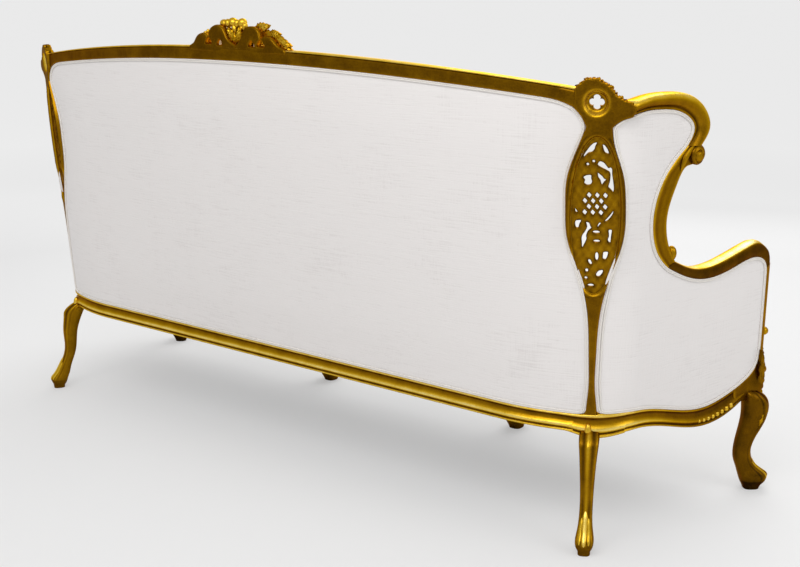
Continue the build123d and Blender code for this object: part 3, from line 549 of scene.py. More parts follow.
def volute(r, a):
    """A scroll's eye: a spiral groove rising to a button."""
    turn = a / (2 * math.pi)
    wave = 0.5 + 0.5 * np.cos(2 * math.pi * (2.0 * r ** 0.8 - turn))
    button = 0.35 * hump(r, 0, 0.2) * np.sqrt(1 - r * r * 0.9)
    return (0.35 + 0.45 * (1 - r)) * (0.55 + 0.45 * wave) + button


def rosette(petals):
    def relief(r, a):
        lobe = np.abs(np.cos(petals * a / 2))
        rim = np.clip((1.0 - r) / (0.22 + 0.2 * (1 - lobe)), 0, 1) ** 0.6
        cup = 0.45 + 0.4 * np.sin(math.pi * np.clip(r, 0, 1)) * lobe ** 0.6
        return np.where(r < 0.28, 0.62 + 0.3 * round_top(r / 0.28), rim * cup)
    return relief


def leaf(place, root, heading, length, width, rise, bend=0.0, lobes=4, base=0.0, under=0.1):
    """A carved leaf with a midrib and lobed edges, lying on a surface."""
    t = np.linspace(0, 1, 17)
    w = np.linspace(-1, 1, 9)
    angle = heading + bend * t
    step = length / (len(t) - 1)
    line = np.cumsum(np.stack((np.cos(angle), np.sin(angle)), 1) * step, axis=0) + np.array(root)
    lobe = 1 + 0.2 * np.sin(2 * math.pi * lobes * t - 0.6)
    half = width / 2 * np.clip(np.sin(math.pi * t ** 0.7), 0.05, 1) ** 0.7 * lobe
    sideways = np.stack((-np.sin(angle), np.cos(angle)), 1)
    spot = line[:, None] + sideways[:, None] * (half[:, None] * w[None])[..., None]
    veins = 0.12 * np.cos(2 * math.pi * (lobes * t[:, None] - 0.9 * np.abs(w[None])))
    body = 0.5 + 0.5 * t[:, None] ** 2 + 0.28 * np.abs(w[None]) - 0.5 * np.abs(w[None]) ** 4
    rib = 0.22 * hump(w[None], 0, 0.16)
    ends = np.clip(np.sin(math.pi * np.clip(t, 0.06, 0.97)), 0.1, 1)[:, None] ** 0.4
    height = np.clip(body + veins + rib, 0.05, None) * ends
    top = laid(place, spot, base - rise * height)
    back = spot[:, -2:0:-1]
    low = laid(place, back, base + 2.0)
    # Raised parts are brighter, partly rubbed gilding and partly painted highlight; the underside takes
    # under, dark by default as painted shade beneath the leaf.
    gilt_and_painted_light = np.concatenate((np.clip(0.15 + 0.75 * height, 0, 1), np.full(back.shape[:2], under)), 1)
    return skin(np.concatenate((top, low), 1), gilt_and_painted_light)


def ridge(place, path, width, rise, base=0.0, gilt_and_painted_light=1.0, taper=0.18):
    """A raised half-round moulding along a path on a surface, thinning to its ends."""
    line = curve(path, step=3.5)
    t = np.linspace(0, 1, len(line))
    full = np.sqrt(np.clip(np.minimum(t, 1 - t) / taper, 0.02, 1))[:, None]
    a = np.linspace(0, math.pi, 9)[None]
    spot = line[:, None] + beside(line)[:, None] * (width / 2 * full * np.cos(a))[..., None]
    top = laid(place, spot, base - rise * full * np.sin(a))
    feet = spot[:, [-1, 0]]
    low = laid(place, feet, base + 2.0)
    # The crest is brighter and the flanks darker, partly rubbed gilding and partly painted highlight; the
    # feet are dark as painted shade.
    shine = gilt_and_painted_light * (0.3 + 0.7 * np.sin(a)) * np.ones_like(full)
    return skin(np.concatenate((top, low), 1), np.concatenate((shine, np.full(feet.shape[:2], 0.2)), 1))


def ball(place, centre, radius, depth=0.0, stretch=(1.0, 1.0), gilt_and_painted_light=0.9, turn=0.0):
    """A bead in the round, half sunk where its depth puts it under a surface."""
    up = np.linspace(-math.pi / 2, math.pi / 2, 11)[:, None] * 0.98
    a = turns(18)[None]
    x = radius * stretch[0] * np.cos(up) * np.cos(a)
    y = radius * stretch[1] * np.cos(up) * np.sin(a)
    u = centre[0] + math.cos(turn) * x - math.sin(turn) * y
    v = centre[1] + math.sin(turn) * x + math.cos(turn) * y
    return skin(place(u, v, depth - radius * np.sin(up) * np.ones_like(a)), gilt_and_painted_light)


def moulding(points, width, count=34):
    """A smooth run of a rail's section through a few of its points."""
    line = curve(np.array(points) * (width, 1, 4), count)
    return [tuple(p) for p in line / (width, 1, 4)]


# Materials

class Nodes:
    """A node tree being filled, with short ways to add the nodes used here."""

    def __init__(self, owner):
        owner.use_nodes = True
        self.nodes = owner.node_tree.nodes
        self.link = owner.node_tree.links.new

    def feed(self, node, inputs):
        """Gives inputs their values, or the outputs that drive them."""
        for key, value in inputs.items():
            if isinstance(value, bpy.types.NodeSocket):
                self.link(value, node.inputs[key])
            else:
                node.inputs[key].default_value = value

    def add(self, kind, inputs, out=0, **settings):
        node = self.nodes.new("ShaderNode" + kind)
        for key, value in settings.items():
            setattr(node, key, value)
        self.feed(node, inputs)
        return node.outputs[out]

    def noise(self, scale, detail, stretch=(1, 1, 1)):
        """A noise pattern in the sofa's own metres, stretched along an axis if asked."""
        spot = self.add("Mapping", {"Vector": self.add("TexCoord", {}, "Object"), "Scale": stretch})
        return self.add(
            "TexNoise", {"Vector": spot, "Scale": scale, "Detail": detail, "Roughness": 0.55}, "Fac")

    def math(self, kind, *values):
        return self.add("Math", dict(enumerate(values)), operation=kind)

    def ramp(self, fac, stops):
        colour = self.add("ValToRGB", {"Fac": fac}, "Color")
        elements = colour.node.color_ramp.elements
        while len(elements) < len(stops):
            elements.new(0.5)
        for element, (at, shade) in zip(elements, stops):
            element.position = at
            element.color = (*shade, 1)
        return colour

    def bump(self, height, distance, strength):
        return self.add("Bump", {"Height": height, "Distance": distance, "Strength": strength}, "Normal")

    def split_view(self, share, lit, shown, output):
        """Shows the camera a share of another surface than the one that gives light."""
        mixed = self.add("MixShader", {0: share, 1: lit, 2: shown})
        self.feed(self.nodes[output], {"Surface": mixed})


def new_material(name):
    material = bpy.data.materials.new(name)
    tree = Nodes(material)
    return material, tree, tree.nodes["Principled BSDF"]


def gilded():
    """Gold over a dark ground, darker in the hollows and brighter where it stands proud: partly umber patina
    and rubbed gilding, partly painted shade and painted highlight.
    """
    material, tree, shader = new_material("gilded_wood")
    shine = tree.add("Attribute", {}, "Fac", attribute_name="gilt_and_painted_light")
    speck = tree.noise(260.0, 3.0)
    blotches = tree.math("MULTIPLY_ADD", tree.noise(22.0, 5.0), 0.34, -0.18)
    specks = tree.math("MULTIPLY_ADD", speck, 0.18, -0.09)
    level = tree.math("ADD", tree.math("ADD", shine, blotches), specks)
    # The palest stops are a near-white painted highlight, reached mainly on the arm's top, whose values pass
    # 1.
    colour = tree.ramp(tree.math("MULTIPLY", level, 0.8), [
        (0.0, (0.024, 0.011, 0.0008)), (0.176, (0.150, 0.066, 0.0010)), (0.336, (0.310, 0.150, 0.0020)),
        (0.52, (0.520, 0.285, 0.0060)), (0.68, (0.760, 0.490, 0.0400)), (0.8, (0.920, 0.700, 0.1800)),
        (0.96, (0.950, 0.890, 0.7200)),
    ])
    tree.feed(shader, {
        "Base Color": colour, "Roughness": tree.math("MULTIPLY_ADD", speck, 0.3, 0.2), "Metallic": 1.0,
        "Specular Tint": (0.75, 0.5, 0.12, 1), "Coat Weight": 0.03, "Coat Roughness": 0.2,
        "Normal": tree.bump(tree.noise(120.0, 4.0, (1, 1, 0.25)), 0.0012, 0.35),
    })
    return material


def woven(name, light, dark, thread=0.0011, slub=1.0):
    """Plain weave with uneven threads. Threads follow the upright or the flat faces of the piece."""
    material, tree, shader = new_material(name)
    fine = 1.0 / thread
    weft = tree.noise(1.0, 3.0, (14, 14, 0.35 * fine))
    flat_weft = tree.noise(1.0, 3.0, (14, 0.35 * fine, 14))
    warp = tree.noise(1.0, 3.0, (0.3 * fine, 0.3 * fine, 9))
    facing = tree.add("NewGeometry", {}, "Normal")
    upward = tree.add("SeparateXYZ", {"Vector": facing}, "Z")
    is_flat = tree.math("GREATER_THAN", tree.math("ABSOLUTE", upward), 0.75)
    threads = tree.add("Mix", {0: is_flat, 2: weft, 3: flat_weft}, data_type="FLOAT")
    streak = tree.math("MULTIPLY_ADD", warp, 0.5, threads)
    tone = tree.math("MULTIPLY_ADD", tree.noise(6.0, 4.0), 0.6, streak)
    tree.feed(shader, {
        "Base Color": tree.ramp(tone, [(0.66, dark), (0.98, light)]), "Roughness": 0.85,
        "Specular IOR Level": 0.25, "Sheen Weight": 0.25, "Sheen Roughness": 0.45,
        "Normal": tree.bump(streak, 0.0009 * slub, 0.6),
    })
    return material


def beech():
    """Sawn beech: pale brown with short darker flecks along the grain."""
    material, tree, shader = new_material("raw_beech")
    grain = tree.noise(1.0, 5.0, (9, 120, 120))
    fleck = tree.noise(1.0, 2.0, (60, 420, 420))
    mixed = tree.math("MULTIPLY_ADD", fleck, 0.4, grain)
    colour = tree.ramp(
        mixed, [(0.45, (0.34, 0.2, 0.1)), (0.7, (0.55, 0.37, 0.21)), (0.95, (0.62, 0.45, 0.28))])
    tree.feed(shader, {"Base Color": colour, "Roughness": 0.7, "Normal": tree.bump(mixed, 0.0006, 0.5)})
    return material


def steel():
    material, tree, shader = new_material("screw_steel")
    brushed = tree.noise(1.0, 3.0, (900, 900, 60))
    tree.feed(shader, {
        "Base Color": tree.ramp(brushed, [(0.3, (0.34, 0.34, 0.35)), (0.75, (0.62, 0.62, 0.64))]),
        "Metallic": 1.0, "Roughness": 0.38, "Normal": tree.bump(brushed, 0.0002, 0.4),
    })
    return material


finishes = {
    "gilded_wood": gilded(),
    "ivory_linen": woven("ivory_linen", (0.82, 0.79, 0.775), (0.73, 0.695, 0.68)),
    "cream_piping": woven("cream_piping", (0.77, 0.735, 0.69), (0.69, 0.66, 0.62), thread=0.0009),
    "jute_webbing": woven("jute_webbing", (0.42, 0.30, 0.17), (0.22, 0.15, 0.08), thread=0.0025, slub=1.5),
    "dust_cloth": woven("dust_cloth", (0.035, 0.034, 0.034), (0.012, 0.012, 0.012), thread=0.0012),
    "raw_beech": beech(),
    "screw_steel": steel(),
}


# Pieces

def piece(name, shape, slot, nodes=(), body="sofa_frame", sharp=38.0):
    """A finished mesh of the sofa that stands for some of its construction."""
    mesh = bpy.data.meshes.new(name)
    mesh.from_pydata(((shape.points - (0, shift_y, 0)) * MM).tolist(), [], shape.faces)
    work = bmesh.new()
    work.from_mesh(mesh)
    bmesh.ops.recalc_face_normals(work, faces=work.faces)
    work.to_mesh(mesh)
    work.free()
    gilt_and_painted_light = mesh.attributes.new("gilt_and_painted_light", "FLOAT", "POINT")
    gilt_and_painted_light.data.foreach_set("value", shape.gilt_and_painted_light.astype(np.float32))
    for face in mesh.polygons:
        face.use_smooth = True
    mesh.set_sharp_from_angle(angle=math.radians(sharp))
    mesh.materials.append(finishes[slot])
    made = bpy.data.objects.new(name, mesh)
    bpy.context.scene.collection.objects.link(made)
    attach(made, body)
    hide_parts(*nodes)
    return made


def both_sides(shape):
    return ("left", shape), ("right", shape.mirrored())


def pair(name, shape, slot, sharp=38.0):
    """A left piece and its mirrored twin, each in place of the node of that name."""
    return [
        piece(f"{side}_{name}", shown, slot, [f"{name}_{side}"], sharp=sharp)
        for side, shown in both_sides(shape)
    ]


def flat(depth):
    """A plate's face at one depth."""
    return lambda u, v, gaps: np.full(len(u), depth)


def arch(end, middle, xs):
    """Height of an arc over a span, from its middle and its ends."""
    rise = middle - end
    radius = (arch_half ** 2 + rise ** 2) / (2 * rise)
    return middle - radius + np.sqrt(radius ** 2 - np.asarray(xs, float) ** 2)


def upper_arch(xs):
    return arch(upper_arch_ends, upper_arch_middle, xs)


def lower_arch(xs):
    """The top rail's lower edge, which drops in a curve to each corner post."""
    drop = corner_drop * np.clip((np.abs(xs) - corner_drop_start) / corner_drop_run, 0, 1) ** 2
    return arch(lower_arch_ends, level_top, xs) - drop


# Show-wood of a side

def quarter(gap, radius):
    """Depth of a rounded edge at a distance from it."""
    return radius * (1 - round_top(np.clip(1 - gap / radius, 0, 1)))


def opening(points):
    """A small pierced hole with softened corners, from points about the middle of the oval."""
    line = np.array(points, float) + oval_centre
    return soften(loop_of(line, step=2.2), 2)


def ruffled(line):
    """An edge cut into small uneven ruffles."""
    line = evenly(line, step=2.5)
    i = np.arange(len(line))
    wave = 1.5 * np.sin(1.9 * i) + 1.1 * np.sin(3.1 * i + 1) + 0.8 * np.sin(0.7 * i)
    return line - beside(line) * (wave * np.sin(math.pi * i / (len(line) - 1)) ** 0.3)[:, None]


def corner_post():
    """Flat post with an oval opening, a pierced ear and small ruffles along its top."""
    outline = loop_of(post_right, right_shoulder, ruffled(ear_top), left_shoulder, post_left, step=2.5)
    oval = ellipse(oval_centre, oval_half)
    a = turns(56)
    round_ear = np.stack((np.cos(a), np.sin(a)), 1)
    reach = foil_reach * (0.6 + 0.4 * np.abs(np.cos(2 * a)) ** 0.65)
    loops = [outline, oval, rosette_centre + round_ear * reach[:, None]]
    guides = [rosette_centre + round_ear * r for r in np.linspace(foil_reach + 1.5, rosette_radius + 1.5, 6)]

    def ring(u, v):
        return np.hypot(u - rosette_centre[0], v - rosette_centre[1])

    def outer(u, v, gaps):
        bowl = rosette_depth * (1 - smooth((ring(u, v) - foil_reach - 1) / (rosette_radius - foil_reach - 1)))
        bevel = 5.5 * (1 - smooth((gaps[1] - 0.5) / 5.0))
        bead = 1.6 * hump(gaps[1], 8.0, 2.4)
        return np.maximum(quarter(gaps[0], 3.0), bowl) + bevel - bead

    def inner(u, v, gaps):
        bead = 3.0 * round_top((gaps[1] - 5) / 5)
        hollow = 3.0 * round_top((gaps[0] - 10) / 6) * (gaps[1] > 12)
        return post_thickness - quarter(gaps[0], 6.0) + bead - hollow

    # The rosette rim and the oval's bevel are brightened as painted highlight, and the line inside the oval's
    # bead is darkened as painted shade.
    def shine(u, v, gaps):
        away = ring(u, v)
        rim = hump(away, rosette_radius - 7, 6)
        bevel = hump(gaps[1], 3.0, 3.0)
        line = hump(gaps[1], 11.5, 2.0)
        edge = hump(gaps[0], 0, 2.5)
        return np.clip(flat_gild + 0.62 * rim + 0.3 * bevel - 0.14 * line + 0.16 * edge, 0, 1)

    board = plate(loops, on_post, outer, inner, 9.0, (1.2, 3.0, 5.5, 8.5), shine, guides)
    carving = []
    for i, share in enumerate(np.linspace(0.06, 0.97, 24)):
        tip = along(ear_top, share + 0.012 * math.sin(5.1 * i)) - (0, 1.0 + 1.5 * math.sin(2.9 * i))
        size = 1.3 + 1.3 * math.sin(2.4 * i) ** 2
        depth, gilt_and_painted_light = 9 + 5 * math.cos(1.9 * i), 0.3 + 0.25 * math.sin(1.3 * i)
        carving.append(ball(on_post, tip, size, depth, (1.9, 1.0), gilt_and_painted_light))
        carving.append(ball(on_post, tip + (2.5, -2.0), size * 1.4, 19, (1.0, 1.4), 0.5))
    inside_face = turned_over(on_post, post_thickness)
    for i in range(9):
        heading = 2 * math.pi * i / 9
        root = rosette_centre + 19 * np.array((math.cos(heading), math.sin(heading)))
        carving.append(leaf(inside_face, root, heading, 22, 13, 6, lobes=3))
    for v in (20, 70, 120, 170, 215):
        carving.append(leaf(inside_face, (5.5, v), math.pi / 2, 52, 15, 5, lobes=3))
    return joined([board] + carving)


# Openings of the pierced oval, from its top to its foot
splat_openings = [
    [(-30, 134), (-27, 143), (-16, 159), (-8, 167), (0, 169), (-5, 160), (-6, 153), (-12, 146), (-19, 146)],
    [(11, 165), (17, 162), (24, 151), (26, 143), (17, 146), (14, 153)],
    [(1, 118), (6, 127), (15, 124), (21, 117), (26, 110), (31, 114), (34, 109), (34, 98), (37, 82), (39, 66),
     (38, 56), (32, 64), (26, 68), (30, 80), (31, 96), (29, 103), (17, 109), (9, 113)],
    [(-30, 89), (-22, 94), (-11, 95), (-12, 87), (-9, 80), (-12, 73), (-20, 71), (-28, 76), (-24, 82)],
    [(2, 101), (7, 97), (14, 92), (16, 87), (23, 85), (17, 81), (12, 72), (9, 84), (4, 89)],
    [(-46, 18), (-41, 12), (-39, 8), (-45, 8)],
    [(-44, -11), (-31, -9), (-33, -15), (-36, -19), (-37, -28), (-43, -28), (-45, -20)],
    [(-21, -13), (-13, -15), (-11, -23), (-7, -27), (-13, -31), (-18, -38), (-20, -47), (-18, -52),
     (-22, -62), (-28, -75), (-29, -58), (-30, -52), (-27, -43), (-22, -36), (-17, -26)],
    [(40, 15), (38, 6), (32, -3), (26, -10), (20, -11), (27, -3), (35, 7)],
    [(10, -13), (14, -15), (10, -19), (5, -26), (7, -18)],
    [(30, -30), (38, -29), (36, -43), (35, -61), (30, -58), (29, -52), (32, -47)],
    [(20, -82), (31, -81), (29, -92), (26, -100), (19, -99)],
    [(-14, -101), (-8, -101), (-4, -112), (-8, -114), (-13, -108)],
    [(5, -136), (10, -127), (21, -124), (19, -133), (13, -141), (6, -141)],
]
# Round and oval ones: across, up, half width, half height
splat_dots = [
    (-20, 119, 3, 3), (-7, 126, 3, 3), (3, -36, 8, 3), (4.5, -57, 7.5, 2.8), (5.7, -93, 3.6, 9.5),
    (-16, -127, 3.4, 4), (-17.5, -145, 3.4, 3), (-6, -162, 7, 3),
]


def post_splat():
    """Pierced oval: scrolling leaves above and below a diamond lattice."""
    cx, cy = oval_centre
    loops = [ellipse(oval_centre, (oval_half[0] - 0.2, oval_half[1] - 0.2))]
    loops += [opening(points) for points in splat_openings]
    loops += [ellipse((cx + x, cy + y), (wide, tall), 0, 18) for x, y, wide, tall in splat_dots]
    for row in range(4):
        for column in range(-1, 2):
            x = lattice_pitch[0] * (column - 0.5 * (row % 2)) + 3
            loops.append(ellipse((cx + x, cy + 48.6 - lattice_pitch[1] * row), (5.2, 6.6), 0.12, 20, 1.1))

    def swell(u, v, gaps):
        near = np.min(gaps[1:], axis=0)
        vein = 0.5 * np.sin(0.33 * u + 0.9 * np.sin(0.06 * v)) * np.cos(0.21 * v)
        return 2.0 * np.sqrt(np.clip(near / 5, 0, 1)) - 2.0 + vein * smooth(near / 5)

    def outer(u, v, gaps):
        return splat_inset - swell(u, v, gaps)

    def inner(u, v, gaps):
        return splat_inset + splat_thickness + 2.2 * swell(u, v, gaps) + 2.0

    # Darker near each opening and along the oval's edge: painted shade in the piercings.
    def shine(u, v, gaps):
        near = np.min(gaps[1:], axis=0)
        wave = 0.08 * np.sin(0.33 * u + 0.9 * np.sin(0.06 * v)) * np.cos(0.21 * v)
        return np.clip(0.12 + 0.3 * smooth(near / 5) + wave - 0.14 * hump(gaps[0], 0, 5), 0, 1)

    return plate(loops, on_post, outer, inner, 5.5, (1.3, 3.0), shine)


def on_wing(s, v, n):
    """The side, sunk behind the ear where the wing rail starts."""
    return on_side(s, v, n + np.interp(s, (-40, -30, -22, -15, -5), (31, 24, 13, 3.5, 0)))


def wing_rail():
    """Round-topped rail with a flat ledge inside it, bending over to a rolled end."""
    # The third column is brightness: high along the rounded top as painted highlight, low in the groove by
    # the ledge as painted shade.
    face = [
        (0.0, 15.0, 0.7), (0.02, 7.0, 0.95), (0.1, -1.0, 1.0), (0.24, -6.0, 0.8), (0.42, -7.5, 0.5),
        (0.6, -5.0, 0.36), (0.74, 0.0, 0.3), (0.8, 2.6, 0.12), (0.88, 1.2, 0.4), (1.0, 3.5, 0.4),
    ]
    back = [(1.0, 26.0, 0.5), (0.85, 31.0, 0.5), (0.5, 35.0, 0.7), (0.18, 31.0, 0.9), (0.03, 24.0, 0.8)]
    return strip(wing_outer, wing_inner, moulding(face, 44, 40) + back, on_wing, 90)


def rolled(r, a):
    """A rolled scroll end: a knob with a spiral line cut round it."""
    groove = hump(r, 0.28 + 0.6 * a / (2 * math.pi), 0.09)
    return round_top(0.96 * r) * (1 - 0.35 * groove)


def wing_scroll():
    """Flat C-scroll with softened edges, rolled at its top and curled at its foot."""
    face = [
        (0.0, 9.0, 0.6), (0.03, 3.0, 0.75), (0.1, 0.4, 0.7), (0.22, 0.6, 0.46), (0.5, 1.4, 0.42),
        (0.8, 0.6, 0.44), (0.92, 0.0, 0.7), (1.0, 4.0, 0.4),
    ]
    section = rounded(moulding(face, 56, 26), board_thickness, 0.6)
    rail = strip(scroll_outer, scroll_inner, section, on_side, 70)
    extras = [ball(on_side, (180, 368), 13, 12, (0.9, 1.4), 0.55)]
    for place in (on_side, turned_over(on_side, board_thickness)):
        extras.append(boss(place, scroll_knob, 24, 15, rolled, sides=36, steps=14, gilt_and_painted_light=0.5))
        crease = [(222, 622), (203, 611), (186, 592), (174, 566)]
        extras.append(ridge(place, crease, 19, 5, gilt_and_painted_light=0.6, taper=0.4))
    extras.append(ball(on_side, scroll_knob, 22, board_thickness / 2, (1, 1), 0.5))
    return joined([rail] + extras)


def arm_rail():
    """Arm with a broad smooth top that laps over the inside padding."""
    # The third column is brightness: the top runs past 1 to a pale painted highlight, and the outer face
    # stays dark.
    ring = [
        (0.04, 7.0, 1.0), (0.12, 3.0, 0.2), (0.22, 0.8, 0.14), (0.32, 0.0, 0.13), (0.55, 0.0, 0.13),
        (0.9, 0.0, 0.14), (0.98, 2.0, 0.3), (1.0, 6.0, 0.3), (1.0, 25.0, 0.4), (0.92, 30.0, 0.5),
        (0.56, 30.0, 0.5), (0.5, 33.0, 0.5), (0.45, 42.0, 0.7), (0.3, 46.5, 0.8), (0.18, 44.0, 0.5),
        (0.03, 37.0, 0.8), (-0.06, 26.0, 1.04), (-0.05, 15.0, 1.06),
    ]
    rail = strip(arm_top, arm_under, ring, on_side, 80)
    inside_face = turned_over(on_side, arm_thickness)
    knuckle = ball(on_side, (576, 312), 12, 22, (0.9, 1.1), 0.5)
    return joined([rail, knuckle, leaf(inside_face, (548, 326), math.radians(188), 130, 16, 5, bend=0.12)])


def on_stump_front(u, v, n):
    """The narrow front of the arm stump: across its thickness, and up."""
    front = np.interp(v, (stump_low, 288), (597, 586))
    return on_side(front - n, v, u)


def arm_stump():
    """Slim stump with a ball and a fall of leaves and berries down its front, tongued behind."""
    face = [(0.0, 3.0, 0.5), (0.2, 0.0, 0.4), (0.75, 0.0, 0.5), (1.0, 2.0, 0.8)]
    back_edge, front_edge = [(570, 276), (581, stump_low)], [(586, 288), (597, stump_low)]
    shaft = strip(back_edge, front_edge, rounded(face, board_thickness, 0.8, 0.2), on_side, 30)
    square = [(0, 10, 0.4), (1, 10, 0.4), (1, 30, 0.4), (0, 30, 0.4)]
    tongue = strip(np.array(back_edge) - (44, 0), np.array(back_edge) + (1, 0), square, on_side, 12)
    extras = [ball(on_stump_front, (8, 102), 11, -7, gilt_and_painted_light=0.6)]
    for v, size in ((66, 44), (34, 56)):
        extras.append(darkened(leaf(on_stump_front, (12, v), -math.pi / 2, size, 24, 6, lobes=3), 0.6))
    for u, v, size in ((5, -2, 12), (17, -16, 9), (6, -34, 11), (16, -50, 9), (6, -66, 9)):
        extras.append(ball(on_stump_front, (u, v), size, -7, gilt_and_painted_light=0.45))
    return joined([shaft, tongue] + extras)


# Moulding of the seat rails: a fine bead, a cove, a bold round and a bead under it
# Its brightness is high on the rounds and low in the coves: partly rubbed gilding, partly painted highlight
# and painted shade.
seat_moulding = moulding([
    (0.0, 5.0, 0.4), (0.03, 1.5, 0.8), (0.09, 0.0, 0.95), (0.15, 1.5, 0.6), (0.21, 4.6, 0.2),
    (0.33, 5.6, 0.34), (0.45, 3.8, 0.5), (0.55, 0.4, 0.8), (0.64, -1.6, 1.0), (0.72, -0.6, 0.8),
    (0.78, 2.2, 0.4), (0.82, 4.6, 0.08), (0.86, 4.0, 0.3), (0.91, 1.8, 0.9), (0.96, 2.2, 0.8),
    (1.0, 6.0, 0.4),
], 50, 52)


def side_seat_rail():
    """Shaped rail with beads carved towards its front end, darker towards the front as painted shade."""
    upper = rail_upper[rail_upper[:, 0] > -8]
    lower = rail_lower[rail_lower[:, 0] > -8]
    rail = strip(upper, lower, rounded(seat_moulding, side_rail_thickness, 0.4), on_tucked_side, 90)
    middle = (evenly(upper, 60) + evenly(lower, 60)) / 2
    beads = [
        ball(on_tucked_side, middle[37 + 2 * i] - (0, 9), 4.2 + 0.35 * i, 0, (1, 1.15), 0.85)
        for i in range(8)]
    # Brightness falls from the rear leg towards the front: painted shade on the rail's front end.
    rail.gilt_and_painted_light *= np.interp(rail.points @ side_along, side_base @ side_along + np.array((60, 420)), (1.0, 0.4))
    return joined([rail] + beads)


# Legs

def leg(stations, foot, kick, shine=0.4):
    """A cabriole leg with a ridge, coves and edge beads, through stations up from the floor."""
    stations = curve(np.array(stations, float), 400)
    z = np.linspace(0, stations[-1, 0], 60)
    along, deep, wide = (np.interp(z, stations[:, 0], stations[:, i]) for i in (1, 2, 3))
    a = turns(64)
    turned = np.abs((a + math.pi) % (2 * math.pi) - math.pi)
    keel = 0.13 * hump(turned, 0, 0.2)
    cove = -0.1 * hump(turned, 0.52, 0.2)
    bead = 0.05 * hump(turned, 0.92, 0.1)
    line = -0.05 * hump(turned, 1.16, 0.08)
    side = np.cross(upright, kick)
    points, gilt_and_painted_light = [], []
    for height, shift, length, width in zip(z, along, deep, wide):
        share = height / stations[-1, 0]
        carved = 0.35 + 0.65 * abs(math.cos(math.pi * share))
        carved *= float(smooth((height - 22) / 12))
        relief = (keel + cove + bead + line) * carved
        power = 2.8 - 0.8 * float(smooth((share - 0.86) / 0.1))
        base = (np.abs(np.cos(a)) ** power + np.abs(np.sin(a)) ** power) ** (-1 / power)
        ring = base * (1 + relief)
        centre = foot + kick * shift + upright * height
        points.append(centre + np.outer(length / 2 * ring * np.cos(a), kick)
                      + np.outer(width / 2 * ring * np.sin(a), side))
        # Brighter on the keel and beads and darker in the coves, partly rubbed gilding and partly painted
        # highlight and painted shade; darker too in the lowest 26 mm.
        gilt_and_painted_light.append(np.clip(shine + 3.0 * relief - 0.14 * (height < 26), 0.05, 1))
    return skin(points, np.array(gilt_and_painted_light))


rear_stations = [
    (0, 0, 34, 29), (8, 0, 35, 30), (14, -1, 41, 36), (30, -2, 52, 44), (48, -12, 46, 39), (70, -22, 38, 33),
    (120, -41, 35, 31), (190, -46, 44, 37), (236, -56, 54, 44), (252, -61, 58, 47), (264, -69, 55, 48),
    (276, -81, 46, 46), (288, -97, 32, 42), (297, -110, 18, 36)]
knee_stations = [
    (215, -1, 67, 63), (240, -3, 66, 62), (257, -9, 56, 54), (268, -17, 38, 38), (274, -25, 14, 14)]
front_stations = [
    (0, 0, 40, 37), (8, 0, 46, 42), (16, 1, 56, 51), (36, 3, 74, 66), (62, -16, 54, 50), (88, -28, 46, 42),
    (110, -29, 45, 41), (142, -22, 49, 45), (186, -11, 58, 53), (232, 0, 69, 63), (274, 2, 62, 57)]


def leg_face(stations, foot, kick, reach):
    """The front of a leg as a surface: across, up, and depth back from its foremost line."""
    side = np.cross(upright, kick)
    stations = curve(np.array(stations, float), 300)

    def place(u, v, n):
        u, v, n = np.broadcast_arrays(u, v, n)
        along = np.interp(v, stations[:, 0], stations[:, 1] + stations[:, 2] / 2)
        point = foot + (along - n - u ** 2 / reach)[..., None] * kick
        return point + u[..., None] * side + v[..., None] * upright
    return place


def head_block(place, low, high, shine=0.5):
    """A leg's square head with softened corners."""
    middle = (np.array(low) + np.array(high)) / 2
    half = (np.array(high) - np.array(low)) / 2
    levels = (
        (head_low, 0.88), (head_low + 5, 0.97), (head_low + 12, 1.0),
        (head_high - 6, 1.0), (head_high - 1.5, 0.98), (head_high, 0.94))
    return skin([laid(place, ellipse(middle, half * grow, 0, 32, 7.0), z) for z, grow in levels], shine)


def on_post_plan(u, w, z):
    return stacked(*(post_base[:2, None] + post_along[:2, None] * u + post_out[:2, None] * w), z)


def on_side_plan(s, n, z):
    return stacked(*(side_base[:2, None] + side_along[:2, None] * s + side_out[:2, None] * n), z)


corner_line = curve(np.concatenate((
    [(x, rear_y(x)) for x in (880.0, 910.0, 938.0)],
    on_tucked_side(np.array((6.0, 28.0, 50.0)), 0.0, 0.0)[:, :2])), 48)
corner_out = beside(corner_line)


def on_corner(t, z, n):
    """Round the foot of the post, from the rear rail's face to the side rail's."""
    t, z, n = np.broadcast_arrays(t, z, n)
    steps = np.arange(len(corner_line))
    proud = 0.1 + 0.7 * np.sin(math.pi * t / steps[-1])
    plan = read_off(corner_line, steps, t) + read_off(corner_out, steps, t) * (proud - n)[..., None]
    return stacked(plan[..., 0], plan[..., 1], z)


def rear_leg():
    """Leg whose ridge runs up into the mouldings that meet above it."""
    kick = direction(math.radians(28))
    shaft = leg(rear_stations, rear_foot, kick)
    head = head_block(on_post_plan, (-17.5, -44), (28.5, -16))
    run = np.arange(len(corner_line), dtype=float)
    reach = (corner_line - side_base[:2]) @ side_along[:2]
    upper = rail_top + np.interp(reach, *rail_upper.T)
    lower = rail_top + np.interp(reach, *rail_lower.T)
    lower = rail_bottom + (lower - rail_bottom) * smooth((run - 8) / 20)
    section = rounded(seat_moulding, side_rail_thickness, 0.4)
    corner = strip(line_at(run, upper), line_at(run, lower), section, on_corner, len(run))
    face = leg_face(rear_stations, rear_foot, kick, 26.0)
    extras = [ridge(face, [(0, 26), (0, 50), (0, 100)], 15, 5)]
    # This bead is gilded bright, partly as a painted highlight where the ridge meets the mouldings.
    extras.append(ball(on_corner, (24, 277), 10, 1, (0.22, 2.1), 0.85))
    for way in (1, -1):
        extras.append(ridge(face, [(way * 12, 26), (way * 11, 50), (way * 8, 84)], 9, 4, gilt_and_painted_light=0.85))
    return joined([shaft, head, corner] + extras)


